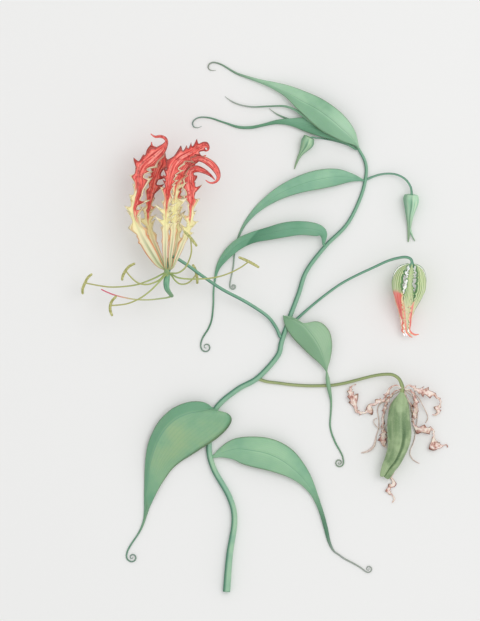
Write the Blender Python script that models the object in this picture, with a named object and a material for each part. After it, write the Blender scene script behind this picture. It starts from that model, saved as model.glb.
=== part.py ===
"""Glory lily: a cut, flowering shoot of a climbing lily, laid down on a surface.

The stem runs along +Y with its cut end at -Y, and z is the height above the surface. Every piece
follows a route of points in millimetres, read along a smooth curve. A leaf's or a tepal's tip runs
on into a thin tail, and the lower leaves end in a flat coil, as a climbing lily's tendrils do.
"""

import math

import bmesh
import bpy
from mathutils import Vector

MM = 0.001

# Driving dimensions, in millimetres
LEAF_THICKNESS = 0.7
TEPAL_THICKNESS = 0.6
WITHERED_THICKNESS = 0.6
LEAF_DROOP = 0.22             # how far a margin hangs below the midrib, per width
TOOTH_PITCH = 6.5             # from tooth to tooth along a tepal's crisped margin
TOOTH_REACH = 1.7             # how far a tooth stands out
TOOTH_RISE = 1.6              # how far teeth bend up and down, by turns
TOOTH_LEAN = 1.0              # how far a tooth leans towards the tip
COIL_STEP = math.radians(36)  # between two points of a coil
STEM_SIDES = 8
STALK_SIDES = 6
THREAD_SIDES = 4
CAPSULE_SIDES = 12
CAPSULE_LOBES = 3
UP = Vector((0, 0, 1))

# Colours, as sRGB
LEAF_GREEN = "#8bb592"
DARK_LEAF_GREEN = "#73a385"
STEM_GREEN = "#82b08f"
POD_GREEN = "#8ba578"
BUD_GREEN = "#9bbf9a"
SEGMENT_GREEN = "#a9b98a"
TEPAL_RED = "#e2645a"
FILAMENT_YELLOW = "#d3d09a"
WITHERED_PINK = "#d3b0a2"

# The stem: x, y, lift above the surface, radius
STEM = (
    (-23.4, -158.7, 0, 2.2), (-21.6, -136.8, 0, 2), (-18.6, -115.8, 0, 1.75), (-21.6, -102, 0, 1.7),
    (-31.2, -84.6, 0, 1.7), (-33.9, -70.8, 0, 1.7), (-30.6, -50.4, 0, 1.65), (-17.4, -37.8, 0, 1.6),
    (-4.8, -30.6, 0, 1.6), (7.2, -17.4, 0, 1.55), (9.6, -9, 0, 1.5), (14.4, 5.4, 0, 1.4),
    (19.8, 19.8, 0.4, 1.35), (24.6, 33.6, 1.2, 1.3), (36, 48.6, 1.2, 1.2), (48.6, 61.2, 0.4, 1.1),
    (56.4, 76.2, 0, 1.05), (60, 88.8, 0, 1), (60, 98.4, 0.4, 0.95), (55.2, 107.7, 1.2, 0.85),
)

# Stalks that grow from the stem: x, y, z, radius. Each starts inside it.
STALKS = {
    "flower": (
        (8.7, -5.7, 1.5, 1), (6, 0.2, 2.4, 1), (0.6, 6.9, 3.8, 1), (-11.7, 15, 8, 1),
        (-25.8, 22.5, 12.5, 0.95), (-37.2, 30.1, 17, 0.95), (-45, 35.8, 20.6, 0.95),
        (-50.1, 39.2, 22.8, 0.95), (-53.7, 41.4, 24.2, 0.95), (-56.6, 41.6, 24.4, 0.95),
        (-58, 38.8, 24.2, 1), (-57.8, 33.6, 24, 1.3),
    ),
    "bud": (
        (60.4, 88.4, 1, 0.8), (64.2, 90, 1.4, 0.65), (67.8, 91.2, 2, 0.6), (72.6, 91.9, 2.8, 0.6),
        (77.7, 91.5, 3.6, 0.6), (82.2, 89.6, 4.2, 0.6), (85.2, 86.8, 4.5, 0.62), (87, 83.4, 4.6, 0.65),
        (87.5, 80, 4.6, 0.7),
    ),
    "opening_bud": (
        (13.4, 1, 1.4, 0.9), (18.3, 4.4, 1.4, 0.85), (22.8, 8.4, 1.6, 0.8), (29.4, 14.1, 2.4, 0.75),
        (36.6, 19.8, 3.4, 0.75), (45, 25.8, 4.8, 0.75), (54.6, 31, 6.6, 0.75), (63, 34.9, 8.2, 0.75),
        (72, 39.1, 9.6, 0.78), (78, 41, 10.2, 0.8), (83.4, 41.8, 10.6, 0.82), (86.7, 40.6, 10.6, 0.85),
        (87.5, 37.8, 10.6, 1),
    ),
    "pod": (
        (-4.4, -31, 1.3, 0.95), (0.6, -32.7, 1, 0.9), (7.8, -33.6, 0.9, 0.9), (15.6, -34.6, 0.9, 0.9),
        (24.6, -35.2, 0.9, 0.9), (32.4, -35.2, 0.9, 0.9), (40.2, -34.9, 0.9, 0.9), (48.6, -33.4, 1.4, 0.9),
        (57.6, -31, 2.8, 0.9), (64.2, -29.3, 4.4, 0.9), (70.8, -28.3, 6, 0.92), (75.9, -28.5, 7, 0.95),
        (79.4, -30.6, 7.7, 1), (81.2, -33.9, 8, 1.1), (81.9, -37.2, 8, 1.3),
    ),
    "tip_bud": (
        (56.5, 106.1, 1.7, 0.5), (53.6, 107.6, 0.8, 0.42), (51, 108.6, 0.45, 0.4), (48, 109.7, 0.45, 0.4),
        (40.8, 111.8, 0.45, 0.4), (34.8, 112.9, 0.5, 0.4), (32.1, 113.3, 1.6, 0.4),
        (30.2, 113.2, 3.2, 0.45),
    ),
}

# Leaves: x, y, z of the midrib, then the blade's width to its left and to its right
LEAVES = {
    "leaf_lower_left": (
        (-20.2, -55.5, 5.4, 0.6, 0.6), (-21.9, -54.8, 5.7, 4.2, 2.4), (-24.6, -53.8, 6.4, 9, 2.7),
        (-28.2, -52.7, 7.4, 13.3, 2.5), (-33, -52, 8.4, 17, 4.7), (-39, -51.9, 9.2, 18.6, 7.7),
        (-47.4, -54.6, 9.8, 20.4, 8.7), (-55.8, -60.3, 9.8, 20.4, 8.7), (-62.1, -68.4, 9, 18.6, 7.5),
        (-66.3, -78, 7.4, 14, 5.6), (-69.1, -88.2, 5.2, 9.5, 3.5), (-70.8, -99, 2.8, 5.6, 2.1),
        (-71.8, -105.6, 1.7, 3, 1.3), (-72.6, -111, 1.1, 1.5, 0.8), (-73.3, -115.8, 0.7, 0.8, 0.7),
        (-74.2, -120, 0.55, 0.5, 0.5), (-77.1, -124.8, 0.5, 0.5, 0.5), (-80.4, -129.9, 0.5, 0.5, 0.5),
        (-82.4, -133.7, 0.5, 0.5, 0.5), (-83.3, -136.5, 0.5, 0.45, 0.45),
    ),
    "leaf_lower_right": (
        (-31, -77.6, 2.2, 0.9, 0.9), (-25.8, -75.1, 3.8, 3.4, 3.4), (-17.4, -72.9, 5.8, 6.4, 8),
        (-7.8, -73.8, 7, 8.4, 9.8), (1.8, -75.9, 7, 9.2, 9.9), (10.8, -80.4, 6.2, 8.8, 8.3),
        (18.6, -86.7, 5, 6.6, 5.4), (24.6, -93.3, 3.8, 4.2, 3.2), (29.4, -100.8, 2.7, 2, 1.9),
        (33, -109.8, 1.9, 1.4, 1.3), (35.8, -119.4, 1.2, 1.3, 1.2), (41.1, -134.4, 0.5, 0.5, 0.5),
        (45.6, -138, 0.5, 0.5, 0.5), (51.3, -141.1, 0.5, 0.5, 0.5), (56.4, -143.8, 0.5, 0.45, 0.45),
        (59.4, -145.6, 0.5, 0.4, 0.4), (61.3, -147, 0.5, 0.4, 0.4),
    ),
    "leaf_fork": (
        (10.5, 6.9, 4.4, 0.6, 0.6), (12.6, 5.1, 4.8, 2.4, 2.5), (16.2, 2.7, 5.4, 3, 5),
        (20.1, 0.7, 5.9, 2.6, 7.5), (24.3, -2.4, 6.3, 7, 8.7), (27.9, -6.6, 6.5, 9.9, 8.1),
        (30.9, -11.4, 6.2, 9, 6.8), (33.3, -16.8, 5.3, 6.4, 4.3), (35.3, -21.6, 4.3, 3, 2.1),
        (36.5, -25.8, 3.7, 1.3, 0.8), (37.1, -30.6, 3.5, 1.2, 1.2), (37.8, -36, 3, 1.3, 1.2),
        (38.8, -40.8, 2, 0.9, 0.9), (39.4, -45, 1.2, 0.6, 0.6), (39.2, -51, 0.6, 0.5, 0.5),
        (38.7, -58.2, 0.5, 0.5, 0.5), (39.3, -62.4, 0.5, 0.5, 0.5), (40.5, -66, 0.5, 0.5, 0.5),
        (42.3, -70.2, 0.5, 0.5, 0.5), (44.4, -73.8, 0.5, 0.48, 0.48), (46.1, -77.1, 0.5, 0.45, 0.45),
        (46.8, -80.1, 0.5, 0.42, 0.42),
    ),
    "leaf_side_upper": (
        (58.4, 88, 1.2, 0.6, 0.6), (52.2, 89.4, 3.4, 2.4, 2.4), (42.6, 90, 5.2, 5.4, 4.8),
        (31.8, 88.2, 6, 6.4, 5.8), (21, 84.8, 5.6, 6.2, 5.8), (10.8, 79.8, 4.4, 5.4, 5.2),
        (1.8, 73.9, 3, 4.3, 4), (-5.4, 68.1, 1.8, 2.8, 2.6), (-11.4, 61.8, 0.8, 1.4, 1.3),
        (-15.4, 55.2, 0.5, 0.7, 0.7), (-17.9, 48.6, 0.5, 0.45, 0.45), (-18.8, 42, 0.5, 0.42, 0.42),
        (-19.3, 36, 0.5, 0.4, 0.4), (-20.3, 30, 0.5, 0.38, 0.38), (-21.2, 24.9, 0.5, 0.36, 0.36),
    ),
    "leaf_side_lower": (
        (34.6, 49.6, 4.4, 0.8, 0.8), (35, 52.8, 5.6, 1.5, 1.5), (34.2, 56.3, 6.8, 2.8, 2.8),
        (30, 58.2, 7.6, 3.9, 3.9), (21, 59.2, 7.8, 4.2, 4.2), (11.4, 58.2, 7.4, 4.5, 4.4),
        (1.8, 56, 6.8, 4, 3.8), (-7.2, 53.8, 6.2, 3.4, 3.3), (-15, 50.4, 5.2, 3.3, 3.3),
        (-21, 45.7, 3.8, 3, 3), (-25.8, 40.2, 2.4, 2.2, 2.2), (-28.8, 34.8, 1.4, 1.2, 1.2),
        (-30.4, 28.2, 0.6, 0.6, 0.6), (-31.2, 21, 0.5, 0.5, 0.5), (-31.3, 13.8, 0.5, 0.5, 0.5),
        (-32.2, 4.8, 0.5, 0.5, 0.5), (-34.2, -0.9, 0.5, 0.5, 0.5), (-37, -5.2, 0.5, 0.48, 0.48),
        (-38.5, -8.4, 0.5, 0.45, 0.45), (-38.9, -11.4, 0.5, 0.42, 0.42),
    ),
    "leaf_top_front": (
        (55.1, 108.7, 4.2, 0.8, 0.8), (51, 114, 6.2, 5, 3), (45.6, 118.8, 7, 7.2, 5),
        (39, 124.5, 8, 9.2, 5.4), (30.6, 130.5, 8, 8.4, 5.2), (21.6, 135.3, 7, 5.6, 4.8),
        (13.2, 140.1, 5.5, 2.8, 3.8), (4.8, 144.1, 4, 1.5, 2.2), (-3, 147.2, 2.8, 1, 1.2),
        (-10.2, 150, 1.8, 0.8, 0.8), (-16.2, 151.3, 1, 0.65, 0.65), (-20.4, 153.8, 0.6, 0.55, 0.55),
        (-24.6, 156.4, 0.5, 0.5, 0.5), (-28.5, 158.3, 0.5, 0.45, 0.45), (-31.8, 158.8, 0.5, 0.42, 0.42),
        (-33.8, 157.8, 0.5, 0.4, 0.4), (-34.6, 156, 0.5, 0.38, 0.38), (-33.7, 154.3, 0.5, 0.36, 0.36),
        (-31.8, 153.7, 0.5, 0.33, 0.33), (-29.8, 154, 0.5, 0.3, 0.3),
    ),
    "leaf_top_back": (
        (54, 106.4, 2.8, 0.5, 0.5), (48, 110.8, 3, 1, 1), (42, 114.1, 3.1, 2.5, 2.5),
        (34.2, 118.1, 3.2, 4.3, 4.3), (24.6, 121.3, 3.2, 4.2, 4.3), (15.6, 122.8, 3, 2.4, 2.3),
        (7.2, 123, 2.4, 1.4, 1.3), (-0.6, 121.3, 1.8, 0.9, 0.9), (-8.4, 119.7, 1.2, 0.9, 0.9),
        (-16.2, 119.9, 0.8, 0.8, 0.8), (-23.4, 122.2, 0.5, 0.55, 0.55), (-27.6, 123.6, 0.5, 0.5, 0.5),
        (-31.8, 125.1, 0.5, 0.45, 0.45), (-35.7, 125.8, 0.5, 0.42, 0.42), (-39.3, 125.8, 0.5, 0.4, 0.4),
        (-42.1, 124.8, 0.5, 0.38, 0.38), (-43.8, 122.8, 0.5, 0.36, 0.36), (-43.7, 120.9, 0.5, 0.34, 0.34),
        (-42.4, 119.6, 0.5, 0.32, 0.32), (-40.3, 119.5, 0.5, 0.3, 0.3), (-38.2, 120.5, 0.5, 0.28, 0.28),
    ),
    "leaf_top_narrow": (
        (53.6, 109.4, 3.3, 0.5, 0.5), (49.8, 111.8, 4.1, 0.8, 0.8), (43.8, 115, 4.6, 1.2, 1.2),
        (34.2, 119.8, 4.9, 1.8, 1.8), (25.8, 124.6, 4.8, 1.3, 1.3), (18.6, 129.6, 4, 0.8, 0.8),
        (11.4, 132.3, 3, 0.6, 0.6), (1.8, 132.3, 2, 0.5, 0.5), (-7.8, 132, 1.2, 0.45, 0.45),
        (-15, 133.2, 0.8, 0.42, 0.42), (-20.4, 135.4, 0.5, 0.4, 0.4), (-24.3, 138.3, 0.5, 0.35, 0.35),
    ),
    "leaf_top_young": (
        (53.8, 108.4, 1.7, 0.4, 0.4), (49.8, 110.3, 1.5, 0.5, 0.5), (45, 112.4, 1, 0.7, 0.7),
        (36, 116.4, 0.65, 1, 1), (25.8, 120.3, 0.65, 1, 1), (18, 123.1, 0.65, 0.8, 0.8),
        (11.4, 125.6, 0.65, 0.5, 0.5), (6.6, 127.8, 0.65, 0.4, 0.4), (2.1, 131.1, 0.65, 0.3, 0.3),
    ),
}

# Coils at the tails' ends: x, y of the middle, turns (anticlockwise is positive), inner radius
COILS = {
    "leaf_lower_left": (-79.9, -138.2, 1.5, 0.9),
    "leaf_lower_right": (61.9, -145.2, 0.9, 0.9),
    "leaf_fork": (44.2, -81.4, -1.5, 0.9),
    "leaf_side_upper": (-19.6, 24.1, 1.0, 0.9),
    "leaf_side_lower": (-35.6, -12.0, 1.3, 1.0),
}

# The open flower's tepals: the way each one faces, in degrees round the flower from +X towards
# +Z, then x, y, z and half width along it
TEPALS = {
    "tepal_1": (122, (
        (-60.6, 34.8, 24.8, 0.96), (-63.4, 37.3, 26, 2.28), (-66.4, 42, 27.4, 3.48),
        (-69.6, 47.4, 28.6, 4.08), (-72.8, 53.4, 29.6, 4.32), (-75.4, 59.4, 30.4, 3.84),
        (-77.3, 64.8, 31, 3.36), (-77.9, 70.2, 31.4, 3.48), (-76.6, 75, 31.8, 3.72),
        (-75.2, 80.4, 32, 3.84), (-74.8, 85.8, 32, 3.72), (-74.5, 90.8, 32.2, 3.96),
        (-72, 95.9, 32.6, 4.44), (-67.7, 99.5, 33.2, 4.68), (-63.2, 103.1, 34, 3.96),
        (-60, 106.6, 34.8, 2.28), (-58.6, 109.3, 35.4, 1.2), (-59.5, 111.5, 35.8, 1.02),
        (-62.4, 112.6, 36, 0.9), (-65.4, 112.3, 36, 0.66), (-68, 114.1, 35.8, 0.3),
    )),
    "tepal_2": (238, (
        (-59.8, 35.4, 22, 0.9), (-62.4, 40.8, 18.6, 1.68), (-65.4, 47.4, 14.4, 2.28),
        (-68, 54, 11.2, 2.58), (-69.7, 60, 9.2, 2.76), (-70.6, 65.4, 8, 2.76), (-70.2, 70.8, 7.4, 2.76),
        (-69.1, 76.2, 7.2, 2.76), (-68, 81.6, 7.8, 2.64), (-67.2, 86.4, 9, 2.76), (-65.6, 91, 10.8, 3.48),
        (-64, 95.1, 13, 3.96), (-62.5, 99, 15.4, 3.72), (-62, 102.6, 17.6, 2.64),
        (-63.6, 104.8, 19.4, 1.92), (-65.9, 106.1, 20.6, 1.32), (-67.7, 107.6, 21.4, 0.78),
        (-67.8, 110, 22, 0.3),
    )),
    "tepal_3": (100, (
        (-59.4, 35.8, 27.2, 0.8), (-59.5, 40.8, 31.4, 1.32), (-59.4, 46.2, 35.4, 1.8),
        (-59.2, 51.9, 38.4, 2.04), (-59.1, 57.6, 40.8, 2.1), (-58.9, 63, 42.2, 2.16),
        (-58.7, 68.4, 43, 2.04), (-58.3, 73.8, 43.4, 2.1), (-57.7, 78.9, 43.6, 2.28),
        (-57.1, 83.7, 43.8, 2.46), (-56.3, 88.2, 43.8, 2.76), (-55.3, 92.2, 43.6, 3.36),
        (-53.6, 96, 43.4, 3.72), (-50.5, 99.2, 43, 3.48), (-46.4, 101.6, 42.4, 3),
        (-42, 104.2, 41.6, 2.64), (-38, 106.4, 40.6, 2.04), (-35.6, 107, 39.8, 1.32),
        (-34, 105.8, 39.2, 0.78), (-34.3, 104.2, 38.8, 0.54), (-36.1, 103.7, 38.6, 0.3),
    )),
    "tepal_4": (72, (
        (-56.8, 35.5, 26.4, 0.8), (-56.6, 40.8, 30, 1.26), (-55.9, 46.2, 32.8, 1.62),
        (-55.1, 51.9, 34.8, 1.86), (-54.6, 57.6, 36, 1.98), (-54.2, 63.3, 36.8, 2.04),
        (-54, 68.7, 37.2, 2.1), (-53.8, 74.1, 37.4, 2.16), (-53.5, 79.5, 37.2, 2.28),
        (-52.8, 84.6, 36.8, 2.58), (-51.4, 89.6, 36.4, 2.76), (-49, 94.3, 36, 2.64),
        (-45.4, 97.9, 35.8, 2.28), (-41, 99.7, 35.6, 1.92), (-36.6, 98.9, 35.6, 2.04),
        (-32.5, 96.4, 35.4, 2.28), (-29.4, 92.9, 35.4, 2.04), (-28, 89.3, 35.4, 1.38),
        (-28.7, 86.6, 35.4, 0.9), (-31, 85.2, 35.4, 0.66), (-33.6, 85.4, 35.4, 0.48),
        (-35.6, 86.9, 35.2, 0.27),
    )),
    "tepal_5": (52, (
        (-55.3, 35.5, 24.6, 0.9), (-53.3, 40.2, 27, 1.56), (-51, 45.6, 28.4, 1.98),
        (-48.7, 51, 29.4, 2.28), (-46.7, 56.4, 30, 2.52), (-45.1, 61.8, 30.2, 2.76),
        (-44.4, 67.2, 30.2, 2.88), (-44.4, 72.3, 30, 2.76), (-44.5, 77.1, 29.8, 3.48),
        (-44.9, 81.9, 29.6, 4.56), (-45.5, 86.4, 29.4, 4.32), (-45.2, 90.4, 29.2, 2.64),
        (-43.6, 93.1, 29.2, 2.28), (-40.6, 93.7, 29.4, 2.04), (-37.2, 92.6, 29.4, 1.68),
        (-34, 90.8, 29.4, 1.14), (-31.9, 89.1, 29.4, 0.72), (-30.2, 87.2, 29.2, 0.3),
    )),
    "tepal_6": (296, (
        (-56.5, 35.6, 21.6, 0.9), (-54.8, 40.8, 18, 1.56), (-53.5, 46.2, 14.2, 2.04),
        (-52.8, 51.9, 11.4, 2.16), (-52.6, 57.6, 9.6, 2.28), (-52.8, 63.3, 8.4, 2.4),
        (-53.2, 69, 7.8, 2.52), (-53.3, 74.7, 7.8, 2.64), (-52.9, 80.1, 8.4, 2.76), (-52, 85.2, 9.6, 2.88),
        (-50.2, 90, 11.4, 2.88), (-47.4, 94.1, 13.6, 2.76), (-44.2, 97.6, 16, 2.28), (-41, 99.4, 18, 1.62),
        (-38.2, 100.7, 19.4, 0.96), (-35.6, 102.1, 20.4, 0.3),
    )),
}

# Stamens: the filament, then the anther across its end: x, y, z, radius
STAMENS = {
    "stamen_1": ((
        (-60.1, 32.2, 23.6, 0.5), (-65.4, 29.4, 22.6, 0.5), (-70.4, 27.3, 21.6, 0.48),
        (-76.8, 25.2, 20.6, 0.46), (-84.8, 24.1, 19.4, 0.45), (-93, 23.9, 18, 0.43),
        (-100.2, 24.9, 16.8, 0.42), (-107.5, 26.3, 16, 0.4),
    ), (
        (-103.7, 31.4, 16.5, 0.5), (-105.9, 29.4, 16.2, 0.9), (-107.7, 26.1, 16, 1),
        (-109, 22.8, 15.8, 0.95), (-109, 20.1, 15.6, 0.5),
    )),
    "stamen_2": ((
        (-60, 31.4, 25.2, 0.5), (-62.7, 28.3, 26, 0.5), (-66.3, 26.4, 26.4, 0.48),
        (-70.5, 25.3, 26.4, 0.46), (-75.2, 26, 26, 0.45), (-79.1, 28.8, 25.4, 0.43),
        (-82.9, 33.2, 25, 0.4),
    ), (
        (-78, 37.6, 25.4, 0.5), (-80.9, 36.1, 25.2, 0.9), (-83.2, 33.4, 25, 1), (-84.7, 30.6, 24.8, 0.95),
        (-85.2, 28.2, 24.6, 0.5),
    )),
    "stamen_3": ((
        (-59.6, 30.7, 26.4, 0.5), (-63, 27, 28.4, 0.5), (-67.2, 22.6, 29, 0.48), (-72, 18.7, 28.6, 0.46),
        (-77.1, 15.8, 27.6, 0.45), (-83.1, 13.7, 26.2, 0.43), (-91.8, 12.8, 25, 0.4),
    ), (
        (-88.8, 18.2, 25.4, 0.5), (-91.1, 15.7, 25.2, 0.9), (-92.2, 12.8, 25, 1), (-92.2, 9.7, 24.8, 0.95),
        (-91.2, 7.1, 24.6, 0.5),
    )),
    "stamen_4": ((
        (-56, 30.8, 22.4, 0.5), (-54.1, 28, 20, 0.5), (-51.3, 25.8, 17, 0.48), (-47.7, 25.8, 13.6, 0.46),
        (-44.5, 27.7, 10.2, 0.44), (-41.5, 31.6, 6.1, 0.4),
    ), (
        (-43.4, 37, 6.4, 0.5), (-42.1, 34.6, 6.2, 0.9), (-41.4, 31.8, 6, 1), (-40.9, 29, 5.6, 0.95),
        (-40.9, 26.4, 5.2, 0.5),
    )),
    "stamen_5": ((
        (-55.7, 32, 25.8, 0.5), (-51.9, 32.2, 28.6, 0.5), (-48, 34.8, 32, 0.48), (-45.3, 39.6, 35.4, 0.46),
        (-43.9, 45, 38.4, 0.44), (-44.4, 52.4, 41.4, 0.4),
    ), (
        (-48, 56.3, 41.6, 0.5), (-46.2, 54.6, 41.6, 0.9), (-44.4, 52.6, 41.6, 1),
        (-42.6, 50.4, 41.4, 0.95), (-40.9, 48.1, 41, 0.5),
    )),
    "stamen_6": ((
        (-55.6, 31.3, 24.2, 0.5), (-52.2, 29.4, 24.6, 0.5), (-46.2, 28.6, 24.6, 0.48),
        (-39.8, 28.6, 24.4, 0.47), (-33.4, 29, 24, 0.45), (-27, 30.2, 23.6, 0.44),
        (-20.6, 32.5, 23.2, 0.42), (-15, 35.4, 22.8, 0.4), (-10.2, 38.8, 22.6, 0.4),
    ), (
        (-15.7, 41.4, 22.8, 0.5), (-12.8, 40.2, 22.8, 0.9), (-10, 38.9, 22.6, 1), (-7.1, 37.3, 22.4, 0.95),
        (-4.4, 35.7, 22.2, 0.5),
    )),
}

# The open flower's pistil: x, y, z, radius
OVARY = (
    (-58, 30.8, 24, 1.2), (-58.7, 28.5, 24, 1.75), (-59, 25.8, 23.8, 1.75), (-58.6, 22.8, 23.6, 1.5),
    (-57.1, 20.3, 23.3, 1.2), (-55.7, 18.6, 23, 1),
)
STYLE = (
    (-55.7, 18.6, 23, 0.75), (-58.2, 17.6, 22.6, 0.5), (-63, 16.9, 22, 0.45), (-69, 16.3, 21.2, 0.43),
    (-76.8, 16.4, 20, 0.42), (-84, 17.6, 18.6, 0.4), (-90.6, 19.3, 17.2, 0.4), (-94.8, 21, 16.2, 0.38),
    (-97.8, 22.4, 15.6, 0.35),
)

# The closed buds: x, y, z, radius
BUD = (
    (87.2, 79.4, 5, 2.4), (87.2, 78.7, 5, 4.2), (87.1, 76.8, 5, 4.75), (87.1, 74.4, 4.9, 4.5),
    (86.9, 71.4, 4.5, 3.7), (86.5, 68.1, 3.7, 2.8), (86.3, 64.8, 2.8, 2), (86.2, 61.2, 1.9, 1.35),
    (86.1, 57.6, 1.3, 1), (85.9, 54.6, 1, 0.75), (85.6, 51.2, 0.8, 0.35),
)
BUD_SECOND_TIP = (
    (86.6, 60, 1.9, 0.6), (87.1, 57, 1.6, 0.55), (88.1, 54.4, 1.3, 0.45), (89.5, 51.7, 1, 0.28),
)
TIP_BUD = (
    (26.2, 113.4, 4.2, 1.8), (25.8, 112.4, 4.2, 3.3), (25.1, 110.8, 4.1, 3.75), (24, 108.6, 3.8, 3.5),
    (22.6, 106.2, 3.1, 2.7), (20.9, 103.4, 2.2, 1.8), (19.3, 100.6, 1.5, 1.15), (18.1, 97.8, 1, 0.75),
    (17.4, 95, 0.7, 0.35),
)

# The opening bud: x, y, z of its axis, its radius there, and half the width of a wide segment
OPENING_BUD = (
    (87.2, 37.7, 10.8, 2.2, 0.9), (87, 36.4, 10.9, 5.6, 2.3), (86.6, 34.2, 11, 8, 3.5),
    (86, 30.6, 11.1, 9.6, 4.3), (85.6, 26.4, 11.1, 10.2, 4.6), (85.4, 22.2, 11, 9.7, 4.4),
    (85, 18, 10.4, 8.2, 3.7), (84.4, 13.8, 9.4, 6.4, 2.9), (84.1, 10.2, 8.4, 4.8, 2.15),
    (84, 6.6, 7.4, 3.7, 1.6), (83.9, 3, 6.6, 3, 1.25), (83.9, -0.6, 6, 2.5, 1),
    (84.2, -3.6, 5.6, 2.1, 0.7), (84.6, -5.6, 5.4, 1.8, 0.4),
)
# Its segments: degrees round the axis, where 90 faces up, and the share of that width
OPENING_BUD_SEGMENTS = ((90, 0.36), (150, 1), (210, 1), (270, 0.36), (330, 1), (30, 1))
SEGMENT_CUPPING = 0.2         # how far a margin bends in towards the axis, per width
OPENING_BUD_PISTIL = (
    (87.2, 35.9, 10.8, 0.9), (87, 33, 11, 1.7), (86.4, 27.6, 11, 1.6), (85.9, 23.4, 10.9, 1),
    (85.1, 16.2, 10, 0.6), (84.4, 9.6, 8.2, 0.5),
)

# The seed pod: x, y, z, radius
POD = (
    (81.4, -38.7, 7.8, 1.1), (81.3, -40.8, 7.8, 2.3), (81, -43.5, 7.7, 4.1), (80.4, -46.8, 7.6, 5.6),
    (79.9, -51, 7.6, 6.5), (79.6, -55.8, 7.5, 7), (79.8, -60.6, 7.5, 7.4), (79.9, -65.4, 7.5, 7.3),
    (79.4, -70.2, 7.3, 6.6), (78, -75, 6.9, 5.8), (75.9, -79.8, 6.5, 5.3), (73.8, -84, 6, 4.8),
    (72, -87.6, 5.5, 4.2), (70.9, -89.8, 5.2, 3.4),
)
POD_LOBE_DEPTHS = (0.03, 0.17)  # at its top and at its end, as a share of the radius
POD_GROOVE = 72                 # degrees round the pod from its side to the groove on its top

# Withered tepals round the pod: x, y, z, half width
WITHERED_TEPALS = {
    "withered_tepal_1": (
        (80.4, -35.9, 9.4, 0.5), (77.6, -34.7, 9.4, 0.7), (74.4, -36.6, 8.6, 0.8), (72.2, -40.5, 6.8, 0.8),
        (70.6, -43.6, 5.6, 0.8), (67.8, -44.3, 4.6, 1.5), (65.4, -46, 3.8, 0.8), (62.8, -46.8, 3, 1),
        (62.3, -49.5, 2.6, 2), (60.6, -50.9, 2.2, 0.9), (57, -51.5, 1.8, 0.9), (54.5, -50.2, 1.8, 1.1),
        (53.7, -47.1, 2, 1.4), (52.8, -43.8, 2.6, 2.6), (51.4, -40.8, 3, 1.8), (50.8, -38.1, 2.8, 1.2),
        (51.6, -35.6, 2.2, 0.6), (54.3, -34.4, 1.8, 0.3),
    ),
    "withered_tepal_2": (
        (79.9, -37.4, 7.2, 0.5), (77.1, -38.7, 5.8, 0.6), (74.2, -42.3, 4.2, 0.8), (72, -46.8, 2.6, 0.9),
        (70.4, -55.2, 0.6, 0.9), (70.4, -59.4, 0.55, 0.9), (70.8, -63.3, 1.4, 1.5),
        (70.6, -66.9, 1.8, 2.2), (70.7, -69.9, 1.8, 1.6), (72.6, -72.2, 1.2, 0.45),
    ),
    "withered_tepal_3": (
        (83.4, -36.2, 9.4, 0.5), (85.5, -34.7, 9.4, 0.7), (88.3, -36, 8.6, 0.8), (90.6, -37.6, 8, 1.1),
        (93.6, -38.5, 7.4, 2), (97.2, -39.2, 6.4, 2), (100.4, -40.3, 5.4, 1.2), (103, -42.4, 4.4, 0.8),
        (105, -44.4, 3.4, 0.7), (104.4, -46.9, 2.8, 0.8), (103.2, -49, 2.4, 1.6), (103.6, -51.4, 2, 1.1),
        (101.6, -52.8, 1.6, 0.8), (100.1, -52.4, 1.2, 0.4),
    ),
    "withered_tepal_4": (
        (83.5, -37.3, 7.8, 0.5), (86.4, -37.7, 7, 0.6), (88.4, -40, 6.4, 0.8), (89.5, -43.2, 5.6, 1.2),
        (90, -47.4, 4.6, 1.4), (89.5, -51.6, 3.6, 1.5), (89.8, -55.2, 2.8, 0.5),
    ),
    "withered_tepal_5": (
        (83, -38.8, 4.4, 0.5), (84.5, -42, 2.2, 0.6), (86.7, -46.2, 1.2, 0.6), (88, -50.4, 1.2, 0.6),
        (88.3, -54.6, 1.3, 0.7), (89, -58.8, 1.9, 0.8), (91.1, -61.2, 2.2, 1.6), (94.2, -61.6, 2.2, 2.2),
        (97.6, -61.6, 2.2, 1.6), (100.2, -61.4, 2.2, 0.8), (100.9, -64.6, 2, 0.7), (100.7, -67.8, 2, 1.4),
        (101.5, -70.6, 2, 2.8), (104, -71.6, 1.6, 1.8), (106.6, -71, 1.2, 0.6), (108.7, -70.7, 0.9, 0.4),
        (109.3, -72.2, 0.8, 0.35),
    ),
    "withered_tepal_6": (
        (81.8, -39.2, 3.4, 0.45), (82.6, -42.6, 1.6, 0.45), (83.8, -47.1, 0.7, 0.45),
        (85.3, -52.2, 0.5, 0.45), (86.3, -58.2, 0.45, 0.45), (85.6, -65.4, 0.45, 0.45),
        (83.5, -72.6, 0.45, 0.45), (80.4, -79.2, 0.45, 0.5), (77.4, -85.2, 0.6, 0.6),
        (75.9, -89.4, 1, 0.9), (74.8, -88.8, 0.7, 0.5), (76.3, -91.8, 1, 1.2), (76.6, -94.4, 1.2, 2),
        (74.2, -96.2, 1.2, 1.6), (73.6, -98.6, 1.2, 1.8), (75.6, -100.4, 1.1, 0.9), (77.2, -103, 1, 1),
        (76, -105.4, 0.8, 0.4),
    ),
}

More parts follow.
